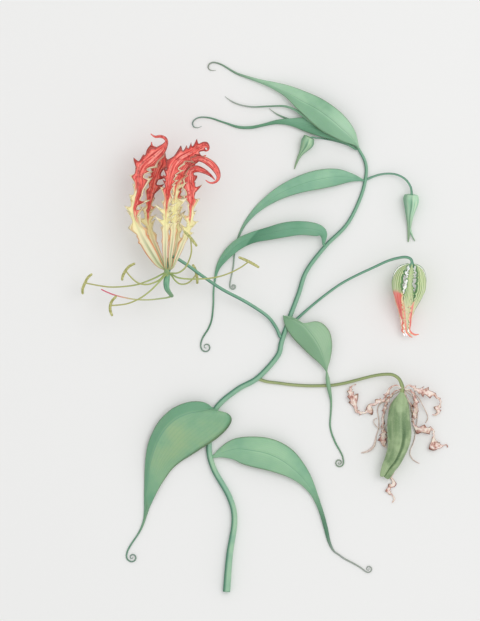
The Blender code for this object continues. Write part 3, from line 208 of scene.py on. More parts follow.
# Tepals: the way each one faces, in degrees round the flower, where along it the red starts, where
# its teeth stop, its margin that stays pale (1 left, -1 right), how much sooner the red starts at
# its right margin, then x, y, z and half width
TEPALS = (
    (122, 0.4, 0.84, -1, 0.28, (
        (-60.6, 34.8, 24.8, 0.96), (-63.4, 37.3, 26, 2.28), (-66.4, 42, 27.4, 3.48),
        (-69.6, 47.4, 28.6, 4.08), (-72.8, 53.4, 29.6, 4.32), (-75.4, 59.4, 30.4, 3.84),
        (-77.3, 64.8, 31, 3.36), (-77.9, 70.2, 31.4, 3.48), (-76.6, 75, 31.8, 3.72),
        (-75.2, 80.4, 32, 3.84), (-74.8, 85.8, 32, 3.72), (-74.5, 90.8, 32.2, 3.96),
        (-72, 95.9, 32.6, 4.44), (-67.7, 99.5, 33.2, 4.68), (-63.2, 103.1, 34, 3.96),
        (-60, 106.6, 34.8, 2.28), (-58.6, 109.3, 35.4, 1.2), (-59.5, 111.5, 35.8, 1.02),
        (-62.4, 112.6, 36, 0.9), (-65.4, 112.3, 36, 0.66), (-68, 114.1, 35.8, 0.3))),
    (238, 0.42, 0.93, -1, 0, (
        (-59.8, 35.4, 22, 0.9), (-62.4, 40.8, 18.6, 1.68), (-65.4, 47.4, 14.4, 2.28),
        (-68, 54, 11.2, 2.58), (-69.7, 60, 9.2, 2.76), (-70.6, 65.4, 8, 2.76),
        (-70.2, 70.8, 7.4, 2.76), (-69.1, 76.2, 7.2, 2.76), (-68, 81.6, 7.8, 2.64),
        (-67.2, 86.4, 9, 2.76), (-65.6, 91, 10.8, 3.48), (-64, 95.1, 13, 3.96),
        (-62.5, 99, 15.4, 3.72), (-62, 102.6, 17.6, 2.64), (-63.6, 104.8, 19.4, 1.92),
        (-65.9, 106.1, 20.6, 1.32), (-67.7, 107.6, 21.4, 0.78), (-67.8, 110, 22, 0.3))),
    (100, 0.42, 1, -1, 0, (
        (-59.4, 35.8, 27.2, 0.8), (-59.5, 40.8, 31.4, 1.32), (-59.4, 46.2, 35.4, 1.8),
        (-59.2, 51.9, 38.4, 2.04), (-59.1, 57.6, 40.8, 2.1), (-58.9, 63, 42.2, 2.16),
        (-58.7, 68.4, 43, 2.04), (-58.3, 73.8, 43.4, 2.1), (-57.7, 78.9, 43.6, 2.28),
        (-57.1, 83.7, 43.8, 2.46), (-56.3, 88.2, 43.8, 2.76), (-55.3, 92.2, 43.6, 3.36),
        (-53.6, 96, 43.4, 3.72), (-50.5, 99.2, 43, 3.48), (-46.4, 101.6, 42.4, 3),
        (-42, 104.2, 41.6, 2.64), (-38, 106.4, 40.6, 2.04), (-35.6, 107, 39.8, 1.32),
        (-34, 105.8, 39.2, 0.78), (-34.3, 104.2, 38.8, 0.54), (-36.1, 103.7, 38.6, 0.3))),
    (72, 0.48, 0.68, 1, 0, (
        (-56.8, 35.5, 26.4, 0.8), (-56.6, 40.8, 30, 1.26), (-55.9, 46.2, 32.8, 1.62),
        (-55.1, 51.9, 34.8, 1.86), (-54.6, 57.6, 36, 1.98), (-54.2, 63.3, 36.8, 2.04),
        (-54, 68.7, 37.2, 2.1), (-53.8, 74.1, 37.4, 2.16), (-53.5, 79.5, 37.2, 2.28),
        (-52.8, 84.6, 36.8, 2.58), (-51.4, 89.6, 36.4, 2.76), (-49, 94.3, 36, 2.64),
        (-45.4, 97.9, 35.8, 2.28), (-41, 99.7, 35.6, 1.92), (-36.6, 98.9, 35.6, 2.04),
        (-32.5, 96.4, 35.4, 2.28), (-29.4, 92.9, 35.4, 2.04), (-28, 89.3, 35.4, 1.38),
        (-28.7, 86.6, 35.4, 0.9), (-31, 85.2, 35.4, 0.66), (-33.6, 85.4, 35.4, 0.48),
        (-35.6, 86.9, 35.2, 0.27))),
    (52, 0.45, 0.8, 1, -0.12, (
        (-55.3, 35.5, 24.6, 0.9), (-53.3, 40.2, 27, 1.56), (-51, 45.6, 28.4, 1.98),
        (-48.7, 51, 29.4, 2.28), (-46.7, 56.4, 30, 2.52), (-45.1, 61.8, 30.2, 2.76),
        (-44.4, 67.2, 30.2, 2.88), (-44.4, 72.3, 30, 2.76), (-44.5, 77.1, 29.8, 3.48),
        (-44.9, 81.9, 29.6, 4.56), (-45.5, 86.4, 29.4, 4.32), (-45.2, 90.4, 29.2, 2.64),
        (-43.6, 93.1, 29.2, 2.28), (-40.6, 93.7, 29.4, 2.04), (-37.2, 92.6, 29.4, 1.68),
        (-34, 90.8, 29.4, 1.14), (-31.9, 89.1, 29.4, 0.72), (-30.2, 87.2, 29.2, 0.3))),
    (296, 0.52, 0.9, 1, 0, (
        (-56.5, 35.6, 21.6, 0.9), (-54.8, 40.8, 18, 1.56), (-53.5, 46.2, 14.2, 2.04),
        (-52.8, 51.9, 11.4, 2.16), (-52.6, 57.6, 9.6, 2.28), (-52.8, 63.3, 8.4, 2.4),
        (-53.2, 69, 7.8, 2.52), (-53.3, 74.7, 7.8, 2.64), (-52.9, 80.1, 8.4, 2.76),
        (-52, 85.2, 9.6, 2.88), (-50.2, 90, 11.4, 2.88), (-47.4, 94.1, 13.6, 2.76),
        (-44.2, 97.6, 16, 2.28), (-41, 99.4, 18, 1.62), (-38.2, 100.7, 19.4, 0.96),
        (-35.6, 102.1, 20.4, 0.3))),
)

# Stamens: the filament, then the anther across its end: x, y, z, radius
STAMENS = (
    ((
        (-60.1, 32.2, 23.6, 0.5), (-65.4, 29.4, 22.6, 0.5), (-70.4, 27.3, 21.6, 0.48),
        (-76.8, 25.2, 20.6, 0.46), (-84.8, 24.1, 19.4, 0.45), (-93, 23.9, 18, 0.43),
        (-100.2, 24.9, 16.8, 0.42), (-107.5, 26.3, 16, 0.4)), (
        (-103.7, 31.4, 16.5, 0.5), (-105.9, 29.4, 16.2, 0.9), (-107.7, 26.1, 16, 1),
        (-109, 22.8, 15.8, 0.95), (-109, 20.1, 15.6, 0.5))),
    ((
        (-60, 31.4, 25.2, 0.5), (-62.7, 28.3, 26, 0.5), (-66.3, 26.4, 26.4, 0.48),
        (-70.5, 25.3, 26.4, 0.46), (-75.2, 26, 26, 0.45), (-79.1, 28.8, 25.4, 0.43),
        (-82.9, 33.2, 25, 0.4)), (
        (-78, 37.6, 25.4, 0.5), (-80.9, 36.1, 25.2, 0.9), (-83.2, 33.4, 25, 1),
        (-84.7, 30.6, 24.8, 0.95), (-85.2, 28.2, 24.6, 0.5))),
    ((
        (-59.6, 30.7, 26.4, 0.5), (-63, 27, 28.4, 0.5), (-67.2, 22.6, 29, 0.48),
        (-72, 18.7, 28.6, 0.46), (-77.1, 15.8, 27.6, 0.45), (-83.1, 13.7, 26.2, 0.43),
        (-91.8, 12.8, 25, 0.4)), (
        (-88.8, 18.2, 25.4, 0.5), (-91.1, 15.7, 25.2, 0.9), (-92.2, 12.8, 25, 1),
        (-92.2, 9.7, 24.8, 0.95), (-91.2, 7.1, 24.6, 0.5))),
    ((
        (-56, 30.8, 22.4, 0.5), (-54.1, 28, 20, 0.5), (-51.3, 25.8, 17, 0.48),
        (-47.7, 25.8, 13.6, 0.46), (-44.5, 27.7, 10.2, 0.44), (-41.5, 31.6, 6.1, 0.4)), (
        (-43.4, 37, 6.4, 0.5), (-42.1, 34.6, 6.2, 0.9), (-41.4, 31.8, 6, 1),
        (-40.9, 29, 5.6, 0.95), (-40.9, 26.4, 5.2, 0.5))),
    ((
        (-55.7, 32, 25.8, 0.5), (-51.9, 32.2, 28.6, 0.5), (-48, 34.8, 32, 0.48),
        (-45.3, 39.6, 35.4, 0.46), (-43.9, 45, 38.4, 0.44), (-44.4, 52.4, 41.4, 0.4)), (
        (-48, 56.3, 41.6, 0.5), (-46.2, 54.6, 41.6, 0.9), (-44.4, 52.6, 41.6, 1),
        (-42.6, 50.4, 41.4, 0.95), (-40.9, 48.1, 41, 0.5))),
    ((
        (-55.6, 31.3, 24.2, 0.5), (-52.2, 29.4, 24.6, 0.5), (-46.2, 28.6, 24.6, 0.48),
        (-39.8, 28.6, 24.4, 0.47), (-33.4, 29, 24, 0.45), (-27, 30.2, 23.6, 0.44),
        (-20.6, 32.5, 23.2, 0.42), (-15, 35.4, 22.8, 0.4), (-10.2, 38.8, 22.6, 0.4)), (
        (-15.7, 41.4, 22.8, 0.5), (-12.8, 40.2, 22.8, 0.9), (-10, 38.9, 22.6, 1),
        (-7.1, 37.3, 22.4, 0.95), (-4.4, 35.7, 22.2, 0.5))),
)

# Pistil, buds and pod: x, y, z, radius
OVARY = (
    (-58, 30.8, 24, 1.2), (-58.7, 28.5, 24, 1.75), (-59, 25.8, 23.8, 1.75),
    (-58.6, 22.8, 23.6, 1.5), (-57.1, 20.3, 23.3, 1.2), (-55.7, 18.6, 23, 1))
STYLE = (
    (-55.7, 18.6, 23, 0.75), (-58.2, 17.6, 22.6, 0.5), (-63, 16.9, 22, 0.45),
    (-69, 16.3, 21.2, 0.43), (-76.8, 16.4, 20, 0.42), (-84, 17.6, 18.6, 0.4),
    (-90.6, 19.3, 17.2, 0.4), (-94.8, 21, 16.2, 0.38), (-97.8, 22.4, 15.6, 0.35))
BUD = (
    (87.2, 79.4, 5, 2.4), (87.2, 78.7, 5, 4.2), (87.1, 76.8, 5, 4.75), (87.1, 74.4, 4.9, 4.5),
    (86.9, 71.4, 4.5, 3.7), (86.5, 68.1, 3.7, 2.8), (86.3, 64.8, 2.8, 2), (86.2, 61.2, 1.9, 1.35),
    (86.1, 57.6, 1.3, 1), (85.9, 54.6, 1, 0.75), (85.6, 51.2, 0.8, 0.35))
BUD_SECOND_TIP = (
    (86.6, 60, 1.9, 0.6), (87.1, 57, 1.6, 0.55), (88.1, 54.4, 1.3, 0.45), (89.5, 51.7, 1, 0.28))
TIP_BUD = (
    (26.1, 113.8, 4.2, 1.8), (25.9, 112.7, 4.2, 3.5), (25.3, 111.1, 4.1, 4.05),
    (24.5, 109.1, 3.8, 3.65), (23.1, 106.7, 3.1, 2.6), (21.4, 104.2, 2.2, 1.45),
    (19.9, 101.6, 1.6, 0.95), (18.8, 99.1, 1.1, 0.68), (18, 97, 0.8, 0.5), (17.4, 94.9, 0.7, 0.3))
OPENING_BUD_PISTIL = (
    (87.2, 35.9, 10.8, 0.9), (87, 33, 11, 1.7), (86.4, 27.6, 11, 1.6), (85.9, 23.4, 10.9, 1),
    (85.1, 16.2, 10, 0.6), (84.4, 9.6, 8.2, 0.5))
POD = (
    (81.4, -38.7, 7.8, 1.1), (81.3, -40.8, 7.8, 2.3), (81, -43.5, 7.7, 4.1),
    (80.4, -46.8, 7.6, 5.6), (79.9, -51, 7.6, 6.5), (79.6, -55.8, 7.5, 7), (79.8, -60.6, 7.5, 7.4),
    (79.9, -65.4, 7.5, 7.3), (79.4, -70.2, 7.3, 6.6), (78, -75, 6.9, 5.8), (75.9, -79.8, 6.5, 5.3),
    (73.9, -83, 6, 4.8), (72.4, -86, 5.5, 4.3), (71.4, -88.1, 5.2, 3.5))

# The opening bud: x, y, z of its axis, its radius there, and half the width of a wide segment
OPENING_BUD = (
    (87.2, 37.7, 10.8, 2.2, 0.9), (87, 36.4, 10.9, 5.6, 2.3), (86.6, 34.2, 11, 8, 3.5),
    (86, 30.6, 11.1, 9.6, 4.3), (85.6, 26.4, 11.1, 10.2, 4.6), (85.4, 22.2, 11, 9.7, 4.4),
    (85, 18, 10.4, 8.2, 3.7), (84.4, 13.8, 9.4, 6.4, 2.9), (84.1, 10.2, 8.4, 4.8, 2.15),
    (84, 6.6, 7.4, 3.7, 1.6), (83.9, 3, 6.6, 3, 1.25), (83.9, -0.6, 6, 2.5, 1),
    (84.2, -3.6, 5.6, 2.1, 0.7), (84.6, -5.6, 5.4, 1.8, 0.4))
# Its segments: degrees round the axis, where 90 faces up, the shares of that width at the foot
# and at the tip, where along it the red starts and how much earlier at its right margin, and how
# far its left and right teeth stand out
OPENING_BUD_SEGMENTS = (
    (90, 0.3, 0.9, 0.8, 0.7, (1, 1)), (147, 1.2, 1.3, 0.42, 0.0, (1.3, 0)),
    (210, 1.1, 1.3, 0.48, 0.0, (0, 0)), (270, 0.3, 0.9, 0.6, 0.0, (1, 1)),
    (330, 1.1, 1.3, 0.7, 0.0, (0, 0)), (37, 1.2, 1.3, 0.66, 0.4, (0, 1.3)),
)
# Tips that curl away from it, by segment: x, y, z, half width
OPENING_BUD_TIPS = {
    1: (
        (84.2, -1.8, 7.2, 0.7), (85.1, -3.8, 6.8, 0.6), (86.4, -5.4, 6.2, 0.5),
        (87.8, -6.1, 5.6, 0.25)),
    2: (
        (82.3, 3, 6.4, 1.1), (81.5, 1.2, 6.2, 1.2), (82, -0.6, 6, 0.9), (81.6, -2.2, 5.9, 0.8),
        (83, -3.8, 5.7, 0.3)),
    6: (
        (86.2, -1.2, 6.2, 0.7), (86.8, -2.8, 5.9, 0.7), (88, -4, 5.6, 0.6), (89.8, -4.6, 5.2, 0.5),
        (91.8, -4.3, 5, 0.25)),
}

# Where the withered parts hang from the pod's stalk: x, y, z, half width
WITHERED_FOOT = (81.6, -37.2, 8, 0.4)
# Withered tepals: x, y, z, half width
WITHERED_TEPALS = ((
    (80.4, -35.9, 9.4, 0.5), (77.6, -34.7, 9.4, 0.7), (74.4, -36.6, 8.6, 0.8),
    (72.2, -40.5, 6.8, 0.8), (70.6, -43.6, 5.6, 0.8), (67.8, -44.3, 4.6, 1.5),
    (65.4, -46, 3.8, 0.8), (62.8, -46.8, 3, 1), (62.3, -49.5, 2.6, 2), (60.6, -50.9, 2.2, 0.9),
    (57, -51.5, 1.8, 0.9), (54.5, -50.2, 1.8, 1.1), (53.7, -47.1, 2, 1.4), (52.8, -43.8, 2.6, 2.6),
    (51.4, -40.8, 3, 1.8), (50.8, -38.1, 2.8, 1.2), (51.6, -35.6, 2.2, 0.6),
    (54.3, -34.4, 1.8, 0.3)
), (
    (79.9, -37.4, 7.2, 0.5), (77.1, -38.7, 5.8, 0.6), (74.2, -42.3, 4.2, 0.8),
    (72, -46.8, 2.6, 0.9), (70.4, -55.2, 0.6, 0.9), (70.4, -59.4, 0.55, 0.9),
    (70.8, -63.3, 1.4, 1.5), (70.6, -66.9, 1.8, 2.2), (70.7, -69.9, 1.8, 1.6),
    (72.6, -72.2, 1.2, 0.45)
), (
    (83.4, -36.2, 9.4, 0.5), (85.5, -34.7, 9.4, 0.7), (88.3, -36, 8.6, 0.8), (90.6, -37.6, 8, 1.1),
    (93.6, -38.5, 7.4, 2), (97.2, -39.2, 6.4, 2), (100.4, -40.3, 5.4, 1.2), (103, -42.4, 4.4, 0.8),
    (105, -44.4, 3.4, 0.7), (104.4, -46.9, 2.8, 0.8), (103.2, -49, 2.4, 1.6),
    (103.6, -51.4, 2, 1.1), (101.6, -52.8, 1.6, 0.8), (100.1, -52.4, 1.2, 0.4)
), (
    (83.5, -37.3, 7.8, 0.5), (86.4, -37.7, 7, 0.6), (88.4, -40, 6.4, 0.8), (89.5, -43.2, 5.6, 1.2),
    (90, -47.4, 4.6, 1.4), (89.5, -51.6, 3.6, 1.5), (89.8, -55.2, 2.8, 0.5)
), (
    (83, -38.8, 4.4, 0.5), (84.5, -42, 2.2, 0.6), (86.7, -46.2, 1.2, 0.6), (88, -50.4, 1.2, 0.6),
    (88.3, -54.6, 1.3, 0.7), (89, -58.8, 1.9, 0.8), (91.1, -61.2, 2.2, 1.6),
    (94.2, -61.6, 2.2, 2.2), (97.6, -61.6, 2.2, 1.6), (100.2, -61.4, 2.2, 0.8),
    (100.9, -64.6, 2, 0.7), (100.7, -67.8, 2, 1.4), (101.5, -70.6, 2, 2.8), (104, -71.6, 1.6, 1.8),
    (106.6, -71, 1.2, 0.6), (108.7, -70.7, 0.9, 0.4), (109.3, -72.2, 0.8, 0.35)
), (
    (81.8, -39.2, 3.4, 0.45), (82.6, -42.6, 1.6, 0.45), (83.8, -47.1, 0.7, 0.45),
    (85.3, -52.2, 0.5, 0.45), (86.3, -58.2, 0.45, 0.45), (85.6, -65.4, 0.45, 0.45),
    (83.5, -72.6, 0.45, 0.45), (80.4, -79.2, 0.45, 0.5), (77.4, -85.2, 0.6, 0.6),
    (75.9, -89.4, 1, 0.65), (74.8, -88.8, 0.7, 0.36), (76.3, -91.8, 1, 0.86),
    (76.6, -94.4, 1.2, 1.44), (74.2, -96.2, 1.2, 1.15), (73.6, -98.6, 1.2, 1.3),
    (75.6, -100.4, 1.1, 0.65), (77.2, -103, 1, 0.72), (76, -105.4, 0.8, 0.29)
))

# Withered filaments: x, y, z, radius
WITHERED_FILAMENTS = ((
    (80.2, -38.4, 4.6, 0.4), (76.2, -40.8, 2.6, 0.4), (72, -43.8, 1.2, 0.4),
    (68.1, -46.8, 0.6, 0.4), (67.1, -50.4, 0.45, 0.4), (67.9, -55.2, 0.45, 0.4),
    (67.9, -60.6, 0.45, 0.4), (66.5, -64.8, 0.45, 0.4), (65.9, -68.4, 0.6, 0.7),
    (64.6, -72, 0.8, 0.9), (61.5, -74.5, 0.7, 0.8), (57.6, -75.5, 0.6, 0.4)
), (
    (80.8, -39.4, 3, 0.35), (77.4, -43.2, 1.6, 0.35), (74.5, -47.4, 0.6, 0.35),
    (73.8, -52.8, 0.5, 0.35), (73.5, -57, 0.9, 0.35), (71.8, -59.8, 1.6, 0.35),
    (69.9, -60.5, 1.8, 0.35), (68, -60.5, 1.8, 0.35), (66.1, -59.2, 1.5, 0.35),
    (64.8, -57, 1.2, 0.35), (65.4, -55.2, 0.9, 0.35), (66.6, -54.8, 0.7, 0.35)
), (
    (83.8, -37.8, 6.8, 0.4), (86.3, -38.6, 6, 0.4), (88.9, -39.8, 5, 0.38), (91.3, -42, 3.6, 0.36),
    (93.2, -45, 2.8, 0.35), (95.2, -48.8, 2, 0.35), (97.1, -52.8, 1.2, 0.35),
    (97.2, -55.4, 0.7, 0.35), (96.1, -57.4, 0.5, 0.35)
), (
    (84, -38.5, 5.4, 0.4), (87.4, -41.4, 4.6, 0.38), (90.2, -46.2, 3, 0.36),
    (91.1, -51.6, 1.6, 0.35), (90.8, -57, 0.8, 0.35), (90, -61.8, 0.45, 0.35),
    (89.6, -66, 0.45, 0.35), (88.4, -70.2, 0.45, 0.35), (86.9, -73.8, 0.45, 0.35),
    (86.8, -76.9, 0.45, 0.35), (88.8, -79.9, 0.45, 0.33), (92.2, -81.8, 0.45, 0.3)
))

# ------ Shapes

# Places round a piece, in degrees, where 0 is its left side and 90 its top: the furrows between
# the three lobes of a bud or the ovary, the shallow ones down the lobes, and the pod's
FURROWS, BUD_SHALLOWS = (90, 210, 330), (30, 150, 270)
POD_FURROWS, POD_SHALLOWS = (68, 188, 308), (8, 128, 248)
# The turn from row to row in a coil, and the share of its radius that its end has lost
COIL_STEP, COIL_TAPER = math.radians(36), 0.3
# Rings in a round cap, and the shares of the radius in the rings of a flat end
CAP_RINGS = 6
FLAT_RINGS = (0, 0.5, 0.9, 0.985)
# Steps along a piece, in millimetres
STEM_STEP, LEAF_STEP, STALK_STEP, THREAD_STEP = 1.2, 0.9, 0.6, 0.5
BUD_STEP, TEPAL_STEP, WITHERED_STEP = 0.4, 0.3, 0.25
# Rows in a blade from LEAF_MARGINS
MARGIN_ROWS = 130
# Sides of round pieces, and columns across one face of a blade
POD_SIDES, BUD_SIDES, OVARY_SIDES, STEM_SIDES = 120, 72, 36, 24
STALK_SIDES, THREAD_SIDES, WITHERED_SIDES = 16, 12, 8
LEAF_COLUMNS, TEPAL_COLUMNS, SEGMENT_COLUMNS, WITHERED_COLUMNS = 32, 22, 24, 12
# A leaf's last rows taper to this share of their width
TAPER_ROWS, TAPER = 8, 0.35
# How high a round tendril is for its width
TENDRIL_HEIGHT = 0.85
# The shortest way to a blade's margin, and the thickness of a withered tepal, in millimetres
LEAST_WAY, WITHERED_THICKNESS = 0.3, 0.35
# The row of the opening bud from which a parted tip goes its own way, and how round it is across
TIPS_FROM, TIP_RING = 10, 6.0


def smooth_steps(values, low, high):
    """0 below low, 1 above high, and a smooth step between them."""
    share = np.clip((values - low) / (high - low), 0, 1)
    return share * share * (3 - 2 * share)


def smooth_curve(rows, per_span):
    """Rows read from a smooth curve through the given rows."""
    rows = np.array(rows, float)
    before = np.vstack((rows[:1], rows[:-2]))
    after = np.vstack((rows[2:], rows[-1:]))
    t = np.linspace(0, 1, per_span, endpoint=False)[None, :, None]
    a, b, c, d = (part[:, None, :] for part in (before, rows[:-1], rows[1:], after))
    spans = 0.5 * (2 * b + (c - a) * t + (2 * a - 5 * b + 4 * c - d) * t ** 2
                   + (3 * b - a - 3 * c + d) * t ** 3)
    return np.vstack((spans.reshape(-1, rows.shape[1]), rows[-1:]))


def coil_rows(last, centre_x, centre_y, turns, inner_radius):
    """Rows that run on from the last row in a flat coil round a centre."""
    x, y = last[0] - centre_x, last[1] - centre_y
    angle, radius = math.atan2(y, x), math.hypot(x, y)
    steps = round(abs(turns) * math.tau / COIL_STEP)
    rows = []
    for share in np.arange(1, steps + 1) / steps:
        turned = angle + turns * math.tau * share
        reach = radius + (inner_radius - radius) * share
        rows.append((centre_x + reach * math.cos(turned), centre_y + reach * math.sin(turned),
                     last[2], *(np.array(last[3:]) * (1 - COIL_TAPER * share))))
    return rows


def even_rows(rows, spacing=LEAF_STEP, softening=2, count=None, detail=24):
    """Rows at a spacing in millimetres, or as many as count, along the curve through rows."""
    fine = smooth_curve(rows, detail)
    gone = np.concatenate(([0], np.cumsum(np.linalg.norm(np.diff(fine[:, :3], axis=0), axis=1))))
    count = count or max(int(round(gone[-1] / spacing)), 4) + 1
    wanted = np.linspace(0, gone[-1], count)
    even = np.column_stack([np.interp(wanted, gone, column) for column in fine.T])
    for _ in range(softening):
        even[1:-1] = (even[:-2] + 2 * even[1:-1] + even[2:]) / 4
    return even


def unit(vectors):
    """Vectors, or a single one, at a length of 1."""
    return vectors / np.linalg.norm(vectors, axis=-1, keepdims=True)


def shifted(directions, amounts):
    """Ways to move a grid's points: one direction for each ring, and an amount for each point."""
    return directions[:, None, :] * amounts[:, :, None]


def travel(points):
    """The direction of travel at each point of a route."""
    return unit(np.gradient(points, axis=0))


def frames(points, facing):
    """Directions along, left and up at each point, for a piece whose top looks at facing."""
    along = travel(points)
    left = unit(np.cross(facing, along))
    return along, left, np.cross(along, left)


def deselect_all():
    """Leave edit mode, and leave nothing selected."""
    if bpy.context.object and bpy.context.object.mode != "OBJECT":
        bpy.ops.object.mode_set(mode="OBJECT")
    bpy.ops.object.select_all(action="DESELECT")


def wrap_grid(name, points, u, v, upper=None):
    """Wrap a grid round into a closed skin through points, an array of rings in millimetres.

    Its last column meets its first, its end rings are poles, and nothing is under the floor.
    u, v and upper, which is 1 on a blade's upper face and -1 on its lower one, go with the points.
    """
    points[:, -1] = points[:, 0]
    points[:, :, 2] = np.maximum(points[:, :, 2], 0)
    rings, columns = points.shape[:2]
    deselect_all()
    bpy.ops.mesh.primitive_grid_add(x_subdivisions=columns - 1, y_subdivisions=rings - 1, size=2)
    piece = bpy.context.object
    piece.name = piece.data.name = name
    mesh = piece.data
    flat = np.zeros(len(mesh.vertices) * 3, np.float32)
    mesh.vertices.foreach_get("co", flat)
    places = (flat.reshape(-1, 3)[:, :2] + 1) / 2 * (columns - 1, rings - 1)
    column, ring = np.rint(places).astype(int).T
    mesh.vertices.foreach_set("co", (points[ring, column] * MM).astype(np.float32).ravel())
    if upper is not None:
        layer = mesh.attributes.new("upper", "FLOAT", "POINT")
        layer.data.foreach_set("value", upper[column].astype(np.float32))
    corners = np.zeros(len(mesh.loops), np.int32)
    mesh.loops.foreach_get("vertex_index", corners)
    uv = np.stack(np.broadcast_arrays(u, v), axis=-1)[ring[corners], column[corners]]
    mesh.uv_layers.active.data.foreach_set("uv", uv.astype(np.float32).ravel())
    bpy.ops.object.mode_set(mode="EDIT")
    bpy.ops.mesh.select_all(action="SELECT")
    bpy.ops.mesh.remove_doubles(threshold=1e-6)
    bpy.ops.mesh.normals_make_consistent(inside=False)
    bpy.ops.object.mode_set(mode="OBJECT")
    bpy.ops.object.shade_smooth()
    return piece


def close_ends(rows, cap_start, cap_end):
    """Rows with rings added at both ends, and each ring's share of its full radius.

    A cap is as long as its number times the end's radius, and 0 makes a flat end.
    """
    turn = np.linspace(0, math.pi / 2, CAP_RINGS, endpoint=False)
    along = travel(rows[:, :3])
    parts, shares = [rows], [np.ones(len(rows))]
    for at_start, cap in ((True, cap_start), (False, cap_end)):
        end = rows[0] if at_start else rows[-1]
        away = -along[0] if at_start else along[-1]
        share = np.sin(turn) if cap else np.array(FLAT_RINGS)
        reach = np.cos(turn) * end[3] * cap if cap else 0.02 * (1 - share)
        added = np.repeat(end[None, :], len(share), axis=0)
        added[:, :3] += away * reach[:, None]
        parts.insert(0 if at_start else len(parts), added if at_start else added[::-1])
        shares.insert(0 if at_start else len(shares), share if at_start else share[::-1])
    return np.vstack(parts), np.concatenate(shares)


def tube(name, rows, around, cap_start=1.0, cap_end=1.0, radius_at=None, slide_at=None,
         along=None):
    """A closed round skin along rows of x, y, z, radius.

    radius_at(share along, angle) scales the radius, and slide_at how far the skin is pushed along,
    in millimetres; angle 0 is its left side and 90 degrees its top. With a fixed direction along,
    the rings stay parallel, so that a shoulder can fold back.
    """
    first = CAP_RINGS if cap_start else len(FLAT_RINGS)
    rows, shares = close_ends(rows, cap_start, cap_end)
    last = len(rows) - 1 - (CAP_RINGS if cap_end else len(FLAT_RINGS))
    if along is None:
        ahead, left, up = frames(rows[:, :3], UP)
        for part in (ahead, left, up):
            part[:first], part[last + 1:] = part[first + 1], part[last - 1]
    else:
        ahead = np.tile(along, (len(rows), 1))
        left = unit(np.cross(UP, ahead))
        up = np.cross(ahead, left)
    turned = np.linspace(0, math.tau, around + 1)
    share_along = np.clip((np.arange(len(rows)) - first) / max(last - first, 1), 0, 1)
    radius = rows[:, 3][:, None] * np.ones(around + 1)[None, :]
    if radius_at is not None:
        radius = radius * radius_at(share_along[:, None], turned[None, :])
    radius = radius * shares[:, None]
    points = (rows[:, None, :3] + shifted(left, radius * np.cos(turned))
              + shifted(up, radius * np.sin(turned)))
    if slide_at is not None:
        slide = slide_at(share_along[:, None], turned[None, :]) * shares[:, None]
        points += shifted(ahead, slide)
    for pole in (0, -1):
        points[pole] = points[pole].mean(axis=0)
    return wrap_grid(name, points, turned / math.tau, share_along[:, None])


def furrows(turned, places, width):
    """How deep in a furrow an angle is, from 0 to 1, for furrows at places round a piece."""
    deepest = 0
    for place in places:
        off = (turned - math.radians(place) + math.pi) % math.tau - math.pi
        deepest = np.maximum(deepest, np.exp(-(off / np.radians(width)) ** 2))
    return deepest


def sheet_columns(columns):
    """Places across a blade, 1 at its left and -1 at its right, closer together at the midrib."""
    x = np.linspace(1, -1, columns + 1)
    return x * (0.6 + 0.4 * x * x)


def sheet(name, rows, columns, thickness, facing, form, tail=1.2, margins=None):
    """A thin closed blade along rows of x, y, z, left width, right width, round at its tail.

    form(share along, places, widths, blade) gives how far each place is shifted along, to the
    side and up, in millimetres. Where the blade is narrower than tail it is a round tendril.
    margins are the ways from the first rows to the left and to the right margin.
    """
    points = rows[:, :3]
    along, left, up = frames(points, facing)
    leftward, rightward = left.copy(), left.copy()
    rows = rows.copy()
    if margins is not None:
        ways = ((3, margins[0], leftward), (4, -margins[1], rightward))
        for column, way, sideways in ways:
            distance = np.linalg.norm(way, axis=1)
            reach = np.maximum(distance, LEAST_WAY)
            rows[:len(way), column] = reach
            apart = np.clip(distance / (2 * LEAST_WAY), 0, 1)[:, None]
            middle = left[:len(way)] * (1 - apart)
            sideways[:len(way)] = unit(way / reach[:, None] * apart + middle)
    across = sheet_columns(columns)
    places = np.concatenate((across, across[-2::-1]))[None, :]
    upper = np.concatenate((np.ones(columns + 1), -np.ones(columns)))
    upper[[0, columns, -1]] = 0
    width = np.where(places > 0, rows[:, 3][:, None], rows[:, 4][:, None])
    blade = smooth_steps(width, 0.5 * tail, 1.6 * tail)
    share_along = np.linspace(0, 1, len(rows))[:, None]
    round_x = np.linspace(1, -1, columns + 1)
    round_x = np.concatenate((round_x, round_x[-2::-1]))[None, :] * math.pi / 2
    side = width * (blade * places + (1 - blade) * np.sin(round_x))
    thin = thickness / 2 * np.sqrt(np.clip(1 - places ** 4, 0, 1))
    rise = upper * (blade * thin + (1 - blade) * width * TENDRIL_HEIGHT * np.cos(round_x))
    shift_along, shift_side, shift_up = form(share_along, places, width, blade)
    side = side + shift_side
    outward = np.where(places[:, :, None] > 0, leftward[:, None, :], rightward[:, None, :])
    shape = (points[:, None, :] + shifted(along, np.broadcast_to(shift_along, side.shape))
             + outward * side[:, :, None] + shifted(up, rise + shift_up))
    shape = shape[[0, *range(len(shape)), -1]]
    for pole in (0, -1):
        shape[pole] = shape[pole].mean(axis=0)
    share_along = share_along[[0, *range(len(share_along)), -1]]
    return wrap_grid(name, shape, (1 - places) / 2, share_along, upper)


# ------ Materials


def linear(colour):
    """An sRGB hex colour as linear red, green, blue and alpha."""
    channels = (int(colour[i:i + 2], 16) / 255 for i in (1, 3, 5))
    return (*(c / 12.92 if c <= 0.04045 else ((c + 0.055) / 1.055) ** 2.4 for c in channels), 1.0)


def plain(value):
    """A hex colour in linear values, and any other value as it is."""
    return linear(value) if isinstance(value, str) else value


def per_metre(size):
    """The scale of a pattern whose features are so many millimetres across."""
    return 1 / (size * MM)


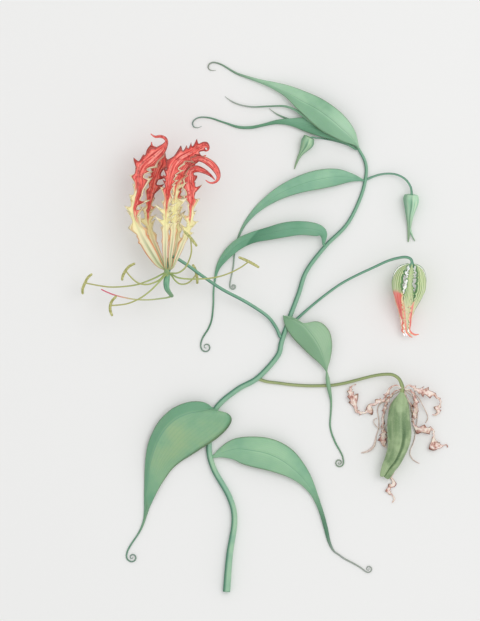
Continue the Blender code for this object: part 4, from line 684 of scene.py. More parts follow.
def wire(node, values, named):
    """Set or link a node's inputs, by their order and by name. Other names are its settings.

    A node that is given as a value stands for its result, and a text for a hex colour.
    """
    for key, value in named.items():
        if key not in node.inputs:
            setattr(node, key, value)
    in_order = zip([socket for socket in node.inputs if socket.enabled], values)
    by_name = [(node.inputs[key], value) for key, value in named.items() if key in node.inputs]
    for socket, value in (*in_order, *by_name):
        if isinstance(value, bpy.types.Node):
            value = next(result for result in value.outputs if result.enabled)
        if isinstance(value, bpy.types.NodeSocket):
            node.id_data.links.new(value, socket)
        else:
            socket.default_value = plain(value)


def add_node(tree, kind, *values, stops=(), **named):
    """Add a node, with its settings, its inputs' values or links, and a ramp's stops.

    A kind in capitals is the operation of a Math node.
    """
    made = tree.nodes.new("ShaderNodeMath" if kind.isupper() else "ShaderNode" + kind)
    if kind.isupper():
        made.operation = kind
    if kind == "Mix":
        made.data_type = "RGBA"
    wire(made, values, named)
    if stops:
        ramp = made.color_ramp
        while len(ramp.elements) < len(stops):
            ramp.elements.new(0.5)
        for element, (place, colour) in zip(ramp.elements, stops):
            element.position = place
            element.color = plain(colour)
    return made


def new_material(name):
    """A new material, and the function that adds nodes to it."""
    made = bpy.data.materials.new(name)
    made.use_nodes = True
    return made, functools.partial(add_node, made.node_tree)


def finish(made, add, colour, height, bump, roughness=0.5, subsurface=0.05, painted_glow=0.0):
    """Wire a colour, a height and a painted glow to a material's shader. The bump is in
    millimetres.
    """
    rise = add("Bump", Height=height, Distance=bump * MM, Strength=0.6)
    wire(made.node_tree.nodes["Principled BSDF"], (), {
        "Base Color": colour, "Normal": rise, "Roughness": roughness, "IOR": PLANT_IOR,
        "Subsurface Weight": subsurface, "Subsurface Scale": MM,
        "Subsurface Radius": (0.6, 1.0, 0.3), "Emission Strength": painted_glow})
    return made


def tinted(add, under, tone, value, start, end, most=1.0):
    """Lay a tone over another: none of it where value is at start, and the share most at end."""
    return add("Mix", add("MapRange", value, start, end, 0.0, most), under, tone)


def blade_places(add):
    """Shares across and along a blade, and the way off its middle, to the right and either way."""
    across, along = add("SeparateXYZ", add("TexCoord").outputs["UV"]).outputs[:2]
    rightward = add("SUBTRACT", across, 0.5)
    return across, along, rightward, add("ABSOLUTE", rightward)


def in_furrows(add, around, along, place, start, most, at_foot):
    """How deep in one of three furrows a point is, where place is one of them, in degrees."""
    waves = add("MULTIPLY_ADD", around, 3 * math.tau, -3 * math.radians(place))
    near = add("MapRange", add("COSINE", waves), *start, 0.0, most)
    down = add("MapRange", along, 0.25, 0.5, at_foot, 1.0)
    return add("MULTIPLY", near, down)


def leaf_material(name, light, middle, dark, rib, veins, shaded_side, tail_tone, tip_tone,
                  tip_start, twist_shade=None):
    """Living leaf of a lily: a smooth waxy skin over veins that run along the blade.

    shaded_side is how much darker the blade is to the left of its midrib, or to its right if it
    is below 0, as painted shade. The tail turns to its own tone, and from tip_start to that of the
    tip. twist_shade is where the painted shade of a twist in the blade is darkest, and how far
    that place slants from margin to margin.
    """
    made, add = new_material(name)
    across, along, _, off = blade_places(add)
    place = add("TexCoord").outputs["Object"]
    # broad patches, about 22 mm across, as the leaf takes the light unevenly
    patches = add("TexNoise", place, per_metre(22.22), 3.0)
    tone = add("ValToRGB", patches, stops=((0.3, dark), (0.48, middle), (0.66, light)))
    # the veins: fine lines along the blade that draw together at both ends. Real ones are
    # under 1 mm apart, and these are about 1 to 1.5 mm apart so that they show
    lines = add("MULTIPLY", across, veins * math.tau)
    vein = add("MapRange", add("COSINE", lines), 0.4, 1.0)
    tone = tinted(add, tone, dark, vein, 0.0, 1.0, 0.16)
    # the side of the blade that turns from the light
    turn = -0.1 if shaded_side > 0 else 0.1
    tone = tinted(add, tone, dark, across, 0.5, 0.5 + turn, abs(shaded_side))
    # the midrib, a narrow sunken line painted darker as shade in its groove, and the rim, a thin
    # olive one
    tone = tinted(add, tone, rib, off, 0.018, 0.004, 0.55)
    tone = tinted(add, tone, "#80946c", off, 0.47, 0.49, 0.5)
    # the tail is a deeper green, and its tip is grey
    tone = tinted(add, tone, tail_tone, along, tip_start - 0.2, tip_start - 0.06, 0.75)
    tone = tinted(add, tone, tip_tone, along, tip_start, tip_start + 0.1, 0.8)
    # painted shade of the twist: darkest at a slanted line across the blade, ending sharply after
    # it
    if twist_shade:
        deepest, slant = twist_shade
        slanted = add("MULTIPLY_ADD", across, slant, along)
        before = add("MapRange", slanted, deepest - 0.16, deepest)
        after = add("MapRange", slanted, deepest, deepest + 0.012, 0.75, 0.0)
        tone = add("Mix", add("MULTIPLY", before, after), tone, "#3f7a5c")
    # the grain of the wax, drawn at 0.56 mm, which is many times the real one
    grain = add("TexNoise", place, per_metre(0.5556), 2.0)
    height = add("MULTIPLY_ADD", grain, 0.35, vein)
    return finish(made, add, tone, height, 0.08, subsurface=0.08)


def stem_material(name, light, middle, dark, upper):
    """Living stem: smooth green with fine ribs, a left side painted darker as shade, and another
    tone high up.
    """
    made, add = new_material(name)
    place = add("TexCoord")
    around, along = add("SeparateXYZ", place.outputs["UV"]).outputs[:2]
    # ribs, 0.8 mm apart round the cut end; in the colour they are painted light on the ridges and
    # painted shade in the grooves
    lines = add("MULTIPLY", around, 18 * math.tau)
    rib = add("SINE", lines)
    # patches, about 11 mm across
    patches = add("TexNoise", place.outputs["Object"], per_metre(11.11), 3.0)
    mixed = add("MULTIPLY_ADD", rib, 0.05, patches)
    tone = add("ValToRGB", mixed, stops=((0.35, middle), (0.62, light)))
    tone = tinted(add, tone, upper, along, 0.3, 0.6, 0.85)
    # painted shade: the left side, away from the light, turns to the dark colour
    turned = add("MULTIPLY", around, math.tau)
    leftward = add("COSINE", turned)
    tone = tinted(add, tone, dark, leftward, 0.15, 0.7, 0.9)
    return finish(made, add, tone, rib, 0.06, 0.45)


def tepal_material(name, red_start, pale_side, slant):
    """Tepal of a glory lily: cream with an olive rib at its foot, then yellow, then bright red.

    The red starts in ragged streaks at the share red_start along it, and has painted shade in
    creases and painted highlights. Its crisped margins are pale yellow with a line of painted
    shade beside them, in the red only the left one (pale_side 1) or the right one (-1). slant is
    how much sooner the red starts at the right margin than at the left.
    """
    made, add = new_material(name)
    across, along, rightward, off = blade_places(add)
    place = add("TexCoord")
    # streaks, about 1 mm wide and 10 mm long
    stretched = add("Mapping", place.outputs["UV"], Scale=(9.0, 7.0, 1.0))
    streaks = add("TexNoise", stretched, 1.0, 5.0, 0.65)
    tone = add("ValToRGB", along, stops=(
        (0.0, "#93a577"), (0.05, "#cdd2a6"), (0.14, "#ebe7c4"), (0.26, "#f6edc4"),
        (0.36, settings().tepal_yellow), (0.6, "#f6f2c6")))
    # an olive rib along the foot
    rib = add("MapRange", off, 0.17, 0.06, 0.0, 0.6)
    low = add("MapRange", along, 0.34, 0.16)
    tone = add("Mix", add("MULTIPLY", rib, low), tone, "#8c9a62")
    # an orange flush in streaks, along the margins of the foot and into the yellow
    flush = add("MULTIPLY_ADD", off, 0.9, streaks)
    tone = tinted(add, tone, "#e59258", flush, 0.84, 1.0, 0.5)
    # where the red starts, ragged and later at the margins
    ragged = add("MULTIPLY_ADD", streaks, 0.36, along)
    slanted = add("MULTIPLY_ADD", rightward, slant, ragged)
    late = add("MULTIPLY_ADD", off, -0.3, slanted)
    red_share = add("MapRange", late, red_start + 0.12, red_start + 0.17)
    # the red in streaks, partly its own and partly painted: dark red as shade, pale pink as
    # highlights
    red = add("ValToRGB", streaks, stops=((0.36, "#a42b28"), (0.43, "#e24f48"),
                                          (0.52, settings().tepal_red), (0.64, "#ffb0a3")))
    # painted shade in creases along it, about 1.5 mm apart
    wander = add("MULTIPLY", streaks, 5.0)
    phase = add("MULTIPLY_ADD", across, 5 * math.tau, wander)
    red = tinted(add, red, "#96292a", add("COSINE", phase), 0.62, 1.0, 0.6)
    # small crimson patches, 2.4 mm across
    patches = add("TexNoise", place.outputs["Object"], per_metre(2.381), 4.0, 0.6)
    red = tinted(add, red, "#a02528", patches, 0.54, 0.61, 0.55)
    tone = add("Mix", red_share, tone, red)
    # painted shade in a line beside the pale, curled margin, and the foot's own orange line at its
    # margins
    above = add("MapRange", along, 0.26, 0.34)
    line = add("Mix", above, "#df8148", add("Mix", red_share, "#bba555", "#8f2a28"))
    tone = tinted(add, tone, line, off, 0.33, 0.4, 0.65)
    # the pale margin itself, from above the foot until it fades near the tip
    this_side = add("MapRange", across, 0.5 + 0.01 * pale_side, 0.5 - 0.01 * pale_side, 0.0, 0.9)
    yellow = add("SUBTRACT", 1.0, red_share)
    share = add("MAXIMUM", this_side, yellow)
    margin = add("MapRange", off, 0.4, 0.43, 0.0, 0.95)
    fading = add("MapRange", along, 0.85, 0.7)
    for limit in (margin, above, fading):
        share = add("MULTIPLY", share, limit)
    return finish(made, add, add("Mix", share, tone, "#fbf2cc"), streaks, 0.35)


def patched_material(name, stops, size, roughness=0.5):
    """Living or withered skin: matt, in soft patches of a few tones, of a size in millimetres."""
    made, add = new_material(name)
    patches = add("TexNoise", add("TexCoord").outputs["Object"], per_metre(size), 4.0, 0.55)
    return finish(made, add, add("ValToRGB", patches, stops=stops), patches, 0.08, roughness)


def along_material(name, stops):
    """Smooth living thread, whose colour changes along it in patches about 3 mm across."""
    made, add = new_material(name)
    place = add("TexCoord")
    along = add("SeparateXYZ", place.outputs["UV"]).outputs["Y"]
    patches = add("TexNoise", place.outputs["Object"], per_metre(3.333), 2.0)
    wander = add("MULTIPLY_ADD", patches, 0.12, along)
    return finish(made, add, add("ValToRGB", wander, stops=stops), patches, 0.05)


def segment_material(name, red_start, slope):
    """Segment of an opening bud: green, with a dark margin, then red with a cream margin.

    The red starts at the share red_start along it, and earlier by slope at its right margin.
    Its pale inside is painted whiter and has a painted glow.
    """
    made, add = new_material(name)
    across, along, rightward, off = blade_places(add)
    face = add("Attribute", attribute_name="upper").outputs["Fac"]
    inside = add("MapRange", face, 0.0, -0.3, 0.0, 0.95)
    # streaks, about 1 mm wide and 20 mm long, and seven lines along the segment
    stretched = add("Mapping", add("TexCoord").outputs["UV"], Scale=(12.0, 2.0, 1.0))
    streaks = add("TexNoise", stretched, 1.0, 3.0)
    lines = add("MULTIPLY", across, 7 * math.tau)
    wave = add("COSINE", lines)
    striped = add("MULTIPLY_ADD", wave, 0.09, streaks)
    tone = add("ValToRGB", striped, stops=((0.34, "#8aa76d"), (0.5, "#b5c590"), (0.64, "#dce4bd")))
    tone = tinted(add, tone, "#ebe5bf", along, 0.42, 0.6, 0.75)
    red = add("ValToRGB", streaks, stops=((0.33, "#cb4540"), (0.48, "#ee7067"), (0.66, "#fbb5a7")))
    wander = add("MULTIPLY_ADD", streaks, 0.16, along)
    sloped = add("MULTIPLY_ADD", rightward, slope, wander)
    share = add("MapRange", sloped, red_start + 0.06, red_start + 0.1)
    margin = add("Mix", share, "#4c7d52", "#efe2b2")
    tone = tinted(add, add("Mix", share, tone, red), margin, off, 0.38, 0.43, 0.85)
    # the pale inside is painted whiter and given a painted glow, standing in for light through the
    # thin segments
    painted_glow = add("MULTIPLY", inside, 0.2)
    return finish(made, add, add("Mix", inside, tone, "#ffffff"), streaks, 0.1, subsurface=0.2,
                  painted_glow=painted_glow)


def bud_material(name, dark, middle, light, both_sides=0.0):
    """Skin of a closed bud: soft green stripes, with painted shade in its three furrows and on its
    left side.

    both_sides is how much painted shade its right side has too.
    """
    made, add = new_material(name)
    uv = add("TexCoord").outputs["UV"]
    around, along = add("SeparateXYZ", uv).outputs[:2]
    # stripes, about 1.5 mm wide
    stripes = add("TexNoise", add("Mapping", uv, Scale=(16.0, 3.0, 1.0)), 1.0, 4.0)
    tone = add("ValToRGB", stripes, stops=((0.32, dark), (0.5, middle), (0.68, light)))
    turned = add("MULTIPLY", around, math.tau)
    rightward = add("COSINE", turned)
    # painted shade, in a darker green, in the furrows and on the sides away from the light
    darker = in_furrows(add, around, along, FURROWS[0], (0.75, 1.0), 0.8, 0.2)
    for side in ((-0.1, -0.8, 0.0, 0.6), (0.45, 0.95, 0.0, both_sides * 2)):
        darker = add("MAXIMUM", darker, add("MapRange", rightward, *side))
    tone = tinted(add, add("Mix", darker, tone, "#4d8468"), "#788a63", along, 0.6, 0.95, 0.6)
    return finish(made, add, tone, stripes, 0.1)


def pod_material(name):
    """Skin of an unripe pod: matt green in soft stripes along it, with fine speckles."""
    made, add = new_material(name)
    place = add("TexCoord")
    uv = place.outputs["UV"]
    around, along = add("SeparateXYZ", uv).outputs[:2]
    # stripes, about 3 mm wide
    stripes = add("TexNoise", add("Mapping", uv, Scale=(15.0, 1.2, 1.0)), 1.0, 4.0)
    tone = add("ValToRGB", stripes, stops=((0.3, "#688359"), (0.5, "#7a946a"), (0.7, "#94aa80")))
    # pale patches, 9 mm across, and painted shade in the furrows
    patches = add("TexNoise", place.outputs["Object"], per_metre(9.091))
    tone = tinted(add, tone, "#b2c79a", patches, 0.42, 0.6, 0.6)
    furrow = in_furrows(add, around, along, POD_FURROWS[0], (0.8, 0.97), 0.85, 0.15)
    tone = add("Mix", furrow, tone, "#4d6b45")
    # speckles, drawn at 0.7 mm, about twice the real ones
    speckles = add("TexNoise", place.outputs["Object"], per_metre(0.6667), 2.0)
    tone = tinted(add, tone, "#b8c9a0", speckles, 0.56, 0.68, 0.25)
    return finish(made, add, tone, speckles, 0.12, 0.48)


def withered_material(name):
    """Withered tepal: dry and papery pink-beige, with red-brown margins and creases."""
    made, add = new_material(name)
    off = blade_places(add)[-1]
    # blotches, 2.4 mm across
    patches = add("TexNoise", add("TexCoord").outputs["Object"], per_metre(2.381), 4.0)
    tone = add("ValToRGB", patches, stops=((0.34, "#a87368"), (0.46, "#dbb9ae"), (0.6, "#f2e4da")))
    tone = tinted(add, tone, "#9c5850", off, 0.37, 0.46, 0.85)
    return finish(made, add, tone, patches, 0.2, 0.75, subsurface=0.1)


# ------ Settings


class GloryLilySettings(bpy.types.PropertyGroup):
    leaf_thickness: bpy.props.FloatProperty(
        name="Leaf Thickness", description="Thickness of a leaf's blade",
        default=0.0006, min=0.0001, unit="LENGTH")
    leaf_droop: bpy.props.FloatProperty(
        name="Leaf Droop", description="How far a leaf's margin hangs below its midrib, per width",
        default=0.22, min=0.0, max=0.6)
    tepal_thickness: bpy.props.FloatProperty(
        name="Tepal Thickness", description="Thickness of a tepal",
        default=0.0005, min=0.0001, unit="LENGTH")
    tooth_pitch: bpy.props.FloatProperty(
        name="Tooth Pitch", description="From tooth to tooth along a tepal's crisped margin",
        default=0.0046, min=0.002, unit="LENGTH")
    tooth_reach: bpy.props.FloatProperty(
        name="Tooth Reach", description="How far a tooth of a tepal's margin stands out",
        default=0.0026, min=0.0, unit="LENGTH")
    tooth_rise: bpy.props.FloatProperty(
        name="Tooth Rise", description="How far a tepal's teeth bend up and down, by turns",
        default=0.0025, min=0.0, unit="LENGTH")
    tepal_red: bpy.props.FloatVectorProperty(
        name="Tepal Red", description="Main red of a tepal's upper part", subtype="COLOR", size=4,
        default=linear("#fa766b"))
    tepal_yellow: bpy.props.FloatVectorProperty(
        name="Tepal Yellow", description="Yellow of a tepal's middle", subtype="COLOR", size=4,
        default=linear("#f4edb4"))
    floor_size: bpy.props.FloatProperty(
        name="Floor Size", description="Side of the floor", default=6.0, min=1.0, unit="LENGTH")
    floor_colour: bpy.props.FloatVectorProperty(
        name="Floor Colour", description="Colour of the floor", subtype="COLOR", size=4,
        default=linear("#ebebea"))


def settings():
    """The sizes and colours that the operators build from."""
    return bpy.context.scene.glory_lily


def place_piece(piece, slot, look, *nodes):
    """Give a finished piece its look and its body, and hide the nodes that it stands for. slot is
    not used.
    """
    piece.data.materials.clear()
    piece.data.materials.append(look)
    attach(piece, BODY)
    if nodes:
        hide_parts(*nodes)


def place_tube(name, route, step, sides, slot, look, *nodes, **shape):
    """Build a round piece along a route, and place it."""
    place_piece(tube(name, even_rows(route, step), sides, **shape), slot, look, *nodes)


# ------ Operators


class LILY_OT_stem(bpy.types.Operator):
    """Build the stem and the stalks that grow from it"""

    bl_idname = "lily.stem"
    bl_label = "Stem"

    def execute(self, context):
        # the frame's stem has eight sides and lies on one, so its middle is under its radius
        flat_height = math.cos(math.pi / 8)
        rows = np.array([(x, y, lift + radius * flat_height, radius)
                         for x, y, lift, radius in STEM])
        green = stem_material("lily_stem_green", "#9fc5a4", "#86b499", "#38775f", "#80b094")
        teal = stem_material("lily_stalk_teal", "#86b499", "#72a489", "#3a7863", "#7aac90")
        olive = stem_material("lily_pod_stalk_olive", "#aeb784", "#9aa872", "#6f8350", "#9dab75")
        place_tube("stem_skin", rows, STEM_STEP, STEM_SIDES, "stem", green, "stem", cap_start=0)
        for name, route in STALKS.items():
            place_tube(name + "_stalk", route + STALK_ENDS.get(name, ()), STALK_STEP, STALK_SIDES,
                       "stem", olive if name == "pod" else teal)
        return {"FINISHED"}


# Light, middle and dark colours, the colour of the midrib's painted shade, veins across the blade,
# its shaded side, the colours of its tail and tip, where the tip starts, and the painted shade of
# a twist
LEAF_LOOKS = {
    "leaf_lower_left": ("#93b287", "#84ad88", "#6a9f7e", "#56917a", 22, -0.8,
                        "#5d8a76", "#83968c", 0.86),
    "leaf_lower_right": ("#98c19c", "#8ab794", "#74a688", "#558d72", 16, -0.15,
                        "#3b6f55", "#a6a9a4", 0.67),
    "leaf_fork": ("#98ba97", "#8fb592", "#76a07d", "#5f9170", 14, -0.75,
                        "#5f9170", "#95a08f", 0.84),
    "leaf_side_upper": ("#96c3a2", "#88b899", "#74a78b", "#528a6c", 12, 0.25,
                        "#6e9079", "#a5b0a6", 0.74),
    "leaf_side_lower": ("#82b092", "#75a98a", "#639b7b", "#4a8263", 12, 0.3,
                        "#4d7a5e", "#85978b", 0.82, (0.393, 0.075)),
    "leaf_top_front": ("#a8cdae", "#9dc5a4", "#7eac8b", "#4b7d60", 14, 0.7,
                        "#67876f", "#97998f", 0.84),
    "leaf_top_back": ("#77a889", "#6b9d7d", "#568d6c", "#457c5c", 8, 0.3,
                        "#5d8a70", "#7f958a", 0.8),
    "leaf_top_narrow": ("#84ad90", "#78a685", "#689879", "#649473", 4, 0.1,
                        "#6f8f79", "#a2a9a2", 0.74),
    "leaf_top_young": ("#84ad90", "#78a685", "#689879", "#649473", 4, 0.1,
                        "#6f8f79", "#95a08f", 0.84),
}
LEAF_SLOTS = {"leaf_side_lower": "dark_leaf", "leaf_top_back": "dark_leaf"}


class LILY_OT_leaves(bpy.types.Operator):
    """Build the leaves, each with its veins and its tendril"""

    bl_idname = "lily.leaves"
    bl_label = "Leaves"

    def execute(self, context):
        droop = settings().leaf_droop
        thickness = settings().leaf_thickness / MM
        for index, (name, route) in enumerate(LEAVES.items()):
            rows = [row if len(row) == 5 else (*row, row[3]) for row in route]
            if name in COILS:
                rows += coil_rows(rows[-1], *COILS[name])
            rows = even_rows(rows)
            margins = None
            if name in LEAF_MARGINS:
                middle, left_margin, right_margin = (
                    even_rows(curve, softening=0, count=MARGIN_ROWS, detail=12)
                    for curve in LEAF_MARGINS[name])
                margins = (left_margin - middle, right_margin - middle)
                rows = np.vstack((np.column_stack((middle, np.ones((MARGIN_ROWS, 2)))), rows))
            rows[-TAPER_ROWS:, 3:] *= np.linspace(1, TAPER, TAPER_ROWS)[:, None]

            def form(share, places, width, blade, index=index, lofted=name in LEAF_MARGINS):
                # the margins hang, the midrib is sunken, and the whole blade sways
                off = np.abs(places)
                hang = 0.45 * droop * width * blade * (off - off ** 1.9) if lofted else (
                    -droop * width * off ** 1.7)
                groove = -0.3 * blade * np.exp(-(places * width / 0.8) ** 2)
                wave = math.tau * (3.3 * share + 0.37 * index) + 1.2 * places
                sway = 0.5 * blade * places ** 2 * np.sin(wave)
                return 0 * width, 0 * width, hang + groove + sway

            piece = sheet(name + "_blade", rows, LEAF_COLUMNS, thickness, UP, form,
                          margins=margins)
            look = leaf_material("lily_" + name, *LEAF_LOOKS[name])
            place_piece(piece, LEAF_SLOTS.get(name, "leaf"), look, name)
        return {"FINISHED"}


def crisped(length, seed, pitch, reach, rise, lean, start=0.2, stop=1.0, groove=0.25, folds=0.0,
            sides=(1, 1)):
    """The form of crisped margins: pointed teeth that hook towards the tip and bend up and down.

    The teeth go from the share start to the share stop along the blade, at the left and right
    margins by the shares in sides. folds is how deep the blade is folded along its length.
    """
    def form(share, places, width, blade):
        # the teeth fade in and out, and stand unevenly apart, by turns at the two margins
        strength = np.clip((share - start) / 0.14, 0, 1) * np.clip((stop - share) / 0.12, 0, 1)
        place = share * length / pitch
        place = place + 0.4 * np.sin(1.3 * place + seed) + np.where(places > 0, 0.5, 0)
        tooth = np.floor(place)
        within = place - tooth
        # each has its own size, and the first ones are the largest
        size = strength * (1 + 0.45 * np.sin(2.7 * tooth + seed)) * np.clip(width / 1.2, 0, 1)
        size = size * np.where(places > 0, sides[0], sides[1])
        size = size * (1 + 0.6 * np.exp(-((share - start - 0.2) / 0.1) ** 2))
        point = (1 - np.abs(2 * within - 1)) ** 1.4
        swing = np.sin(math.pi * within) * np.where(tooth % 2 == 1, 1, -1)
        off = np.abs(places)
        out = np.sign(places) * reach * size * point * off ** 3
        fold = folds * np.clip(width - 0.5, 0, 1) * strength * np.cos(2.6 * math.pi * places)
        up = (rise * np.minimum(size, 1.15) * swing * off ** 2.2 + fold
              - groove * blade * np.exp(-(places * width / 0.5) ** 2))
        return lean * size * point * off ** 4, out, up
    return form


# Where the tepals' feet meet, and the receptacle there: x, y, z, radius
TEPAL_FOOT = (-58.8, 33.4, 24.4)
STAMEN_FOOT = (-58.5, 32.2, 24.2, 0.5)
RECEPTACLE = ((-58.4, 30.4, 24.1, 1.3), (-58.5, 31.6, 24.2, 1.6), (-58.7, 33, 24.3, 1.7),
              (-58.8, 34.4, 24.4, 1.4), (-58.8, 35.6, 24.4, 0.8))


def anther_lobes(share, angle):
    """The two lobes of an anther, side by side along it."""
    return 1 + 0.14 * np.cos(2 * angle) * np.ones_like(share)


class LILY_OT_flower(bpy.types.Operator):
    """Build the open flower: tepals, stamens and pistil"""

    bl_idname = "lily.flower"
    bl_label = "Open Flower"

    def execute(self, context):
        pitch = settings().tooth_pitch / MM
        reach = settings().tooth_reach / MM
        rise = settings().tooth_rise / MM
        thickness = settings().tepal_thickness / MM
        for index, (angle, red_start, teeth_stop, pale_side, slant, route) in enumerate(TEPALS):
            name = f"tepal_{index + 1}"
            facing = np.array((math.cos(math.radians(angle)), 0, math.sin(math.radians(angle))))
            rows = np.array([(*TEPAL_FOOT, 0.5, 0.5), *((*row, row[3]) for row in route)])
            spread = np.linspace(0, 1, len(rows))[:, None]
            # a tepal is slimmer than its solid below its middle
            slim = smooth_steps(spread, 0.15, 0.3) * (1 - smooth_steps(spread, 0.42, 0.52))
            rows[:, 3:] *= 1 - 0.22 * slim
            rows = even_rows(rows, TEPAL_STEP, softening=6)
            form = crisped(TEPAL_STEP * len(rows), index, pitch, reach, rise, lean=0.9 * reach,
                           stop=teeth_stop, folds=0.45)
            piece = sheet(name + "_blade", rows, TEPAL_COLUMNS, thickness, facing, form, tail=0.5)
            look = tepal_material("lily_" + name, red_start, pale_side, slant)
            place_piece(piece, "tepal", look, name)
        look = patched_material("lily_receptacle", ((0.3, "#7f9f6c"), (0.7, "#a9b985")), 2.5)
        place_tube("receptacle_skin", RECEPTACLE, TEPAL_STEP, STEM_SIDES, "tepal", look)
        filament = along_material("lily_filament", ((0.0, "#8aa566"), (0.3, "#a9b574"),
                                                    (0.9, "#adad6a")))
        # pollen, drawn in patches of 1.1 mm, many times its real grain
        anther = patched_material("lily_anther", ((0.3, "#868a4c"), (0.5, "#b1b071"),
                                                  (0.68, "#d2cf99")), 1.111, roughness=0.7)
        for number, (route, across) in enumerate(STAMENS, start=1):
            name = f"stamen_{number}"
            place_tube(name + "_filament", (STAMEN_FOOT, *route), THREAD_STEP, THREAD_SIDES,
                       "filament", filament, name)
            # an anther is slimmer than its solid, and less so where the solid is thin
            slimmer = [(x, y, z, 0.25 * radius + 0.5) for x, y, z, radius in across]
            place_tube(name + "_anther", slimmer, BUD_STEP, STALK_SIDES, "filament", anther,
                       radius_at=anther_lobes)
        look = bud_material("lily_ovary", "#5a9273", "#77ab8a", "#95c4a0")
        place_tube("ovary_skin", OVARY, THREAD_STEP, OVARY_SIDES, "ovary", look, "ovary",
                   radius_at=lambda share, angle: 1.05 - 0.16 * furrows(angle, FURROWS, 18))
        look = along_material("lily_style", ((0.05, "#96ad77"), (0.6, "#c5c48c"),
                                             (0.74, "#dca48e"), (0.9, "#d65f78")))
        place_tube("style_skin", STYLE, STALK_STEP, THREAD_SIDES, "ovary", look)
        return {"FINISHED"}


def bud_skin(name, rows, shoulder, furrow_depth):
    """A closed bud: three pairs of lobes round it, and shoulders that rise round its stalk.

    shoulder is how far its lobes rise above the place where the stalk ends, in millimetres, and
    furrow_depth how deep its furrows are as a share of its radius.
    """
    rows = np.array(rows)
    along = unit(rows[-1, :3] - rows[0, :3])
    widest = rows[:, 3].max()
    # rings that come out of the stalk and fold over into the shoulders
    top = [(*(rows[0, :3] + along * back * shoulder), share * widest)
           for back, share in ((1.2, 0.12), (0.5, 0.3), (0.0, 0.55), (0.1, 0.8))]
    first = next(k for k in range(len(rows)) if rows[k, 3] > 0.8 * widest)
    full = smooth_curve(np.vstack((top, rows[first:])), 8)

    def lobes(share, angle):
        notch = 1 - smooth_steps(share, 0.08, 0.25)
        depth = furrow_depth * (0.35 + 0.65 * notch)
        between = furrows(angle, BUD_SHALLOWS, 12)
        return 1 - depth * furrows(angle, FURROWS, 15) - 0.05 * between

    def shoulders(share, angle):
        near_top = 1 - smooth_steps(share, 0.05, 0.3)
        return 0.7 * shoulder * near_top * furrows(angle, FURROWS, 24)

    return tube(name, full, BUD_SIDES, cap_start=0.2, cap_end=0.8, radius_at=lobes,
                slide_at=shoulders, along=along)


class LILY_OT_buds(bpy.types.Operator):
    """Build the two closed buds"""

    bl_idname = "lily.buds"
    bl_label = "Closed Buds"

    def execute(self, context):
        look = bud_material("lily_bud_green", "#90c2a0", "#b3d8b9", "#cbe2c0")
        place_piece(bud_skin("bud_skin", BUD, 1.1, 0.34), "bud", look, "bud")
        place_tube("bud_second_tip", BUD_SECOND_TIP, BUD_STEP, THREAD_SIDES, "bud", look)
        look = bud_material("lily_tip_bud_green", "#93bd9e", "#a9cba6", "#bdd6ac", 0.3)
        place_piece(bud_skin("tip_bud_skin", TIP_BUD, 0.6, 0.1), "bud", look, "tip_bud")
        return {"FINISHED"}


class LILY_OT_opening_bud(bpy.types.Operator):
    """Build the opening bud: its segments and the young pistil inside"""

    bl_idname = "lily.opening_bud"
    bl_label = "Opening Bud"

    def execute(self, context):
        thickness = settings().tepal_thickness / MM
        axis_rows = np.array(OPENING_BUD)
        axis = unit(axis_rows[-1, :3] - axis_rows[0, :3])
        side = unit(np.cross(UP, axis))
        up = np.cross(axis, side)
        spread = np.linspace(0, 1, len(axis_rows))
        for number, segment in enumerate(OPENING_BUD_SEGMENTS, start=1):
            angle, foot_share, tip_share, red_start, slope, sides = segment
            angle = math.radians(angle)
            outward = side * math.cos(angle) + up * math.sin(angle)
            shares = foot_share + (tip_share - foot_share) * smooth_steps(spread, 0.3, 0.48)
            rows = [(*(row[:3] + outward * row[3]), row[4] * share, row[4] * share, row[3])
                    for row, share in zip(axis_rows, shares)]
            if number in OPENING_BUD_TIPS:
                rows = rows[:TIPS_FROM] + [(x, y, z, half, half, TIP_RING)
                                           for x, y, z, half in OPENING_BUD_TIPS[number]]
            rows = even_rows(rows, TEPAL_STEP)
            teeth = crisped(TEPAL_STEP * len(rows), number, pitch=2.4, reach=1.0, rise=0.5,
                            lean=0.5, start=-0.05, groove=0.2, folds=0.1, sides=sides)

            def form(share, places, width, blade, ring=rows[:, 5][:, None], teeth=teeth):
                lean, out, rise = teeth(share, places, width, blade)
                cupped = (places * width) ** 2 / (2 * ring)
                return lean, out - places * width * cupped / (3 * ring), rise - cupped

            piece = sheet(f"opening_bud_blade_{number}", rows, SEGMENT_COLUMNS, thickness, outward,
                          form, tail=0.3)
            look = segment_material(f"lily_segment_{number}", red_start, slope)
            place_piece(piece, "segment", look, f"opening_bud_segment_{number}")
        look = patched_material("lily_young_pistil", ((0.3, "#dfe6cc"), (0.7, "#fbfbf2")), 3.333)
        place_tube("opening_bud_pistil_skin", OPENING_BUD_PISTIL, THREAD_STEP, STALK_SIDES, "bud",
                   look, "opening_bud_pistil")
        return {"FINISHED"}


class LILY_OT_pod(bpy.types.Operator):
    """Build the seed pod"""

    bl_idname = "lily.pod"
    bl_label = "Seed Pod"

    def execute(self, context):
        def lobes(share, angle):
            apart = smooth_steps(share, 0.72, 1.0)
            deepening = 0.04 + 0.13 * smooth_steps(share, 0.3, 0.6) + 0.4 * apart
            deep = furrows(angle, POD_FURROWS, 11 + 14 * apart) * deepening
            shallow = furrows(angle, POD_SHALLOWS, 9) * 0.04 * (1 - apart)
            return 1 - deep - shallow

        def tips(share, angle):
            turned = 3 * (angle - math.radians(POD_SHALLOWS[0]))
            return 1.3 * smooth_steps(share, 0.85, 1.0) * np.cos(turned)

        place_tube("pod_skin", POD, THREAD_STEP, POD_SIDES, "pod", pod_material("lily_pod_skin"),
                   "pod", cap_start=0.4, cap_end=0.45, radius_at=lobes, slide_at=tips)
        return {"FINISHED"}


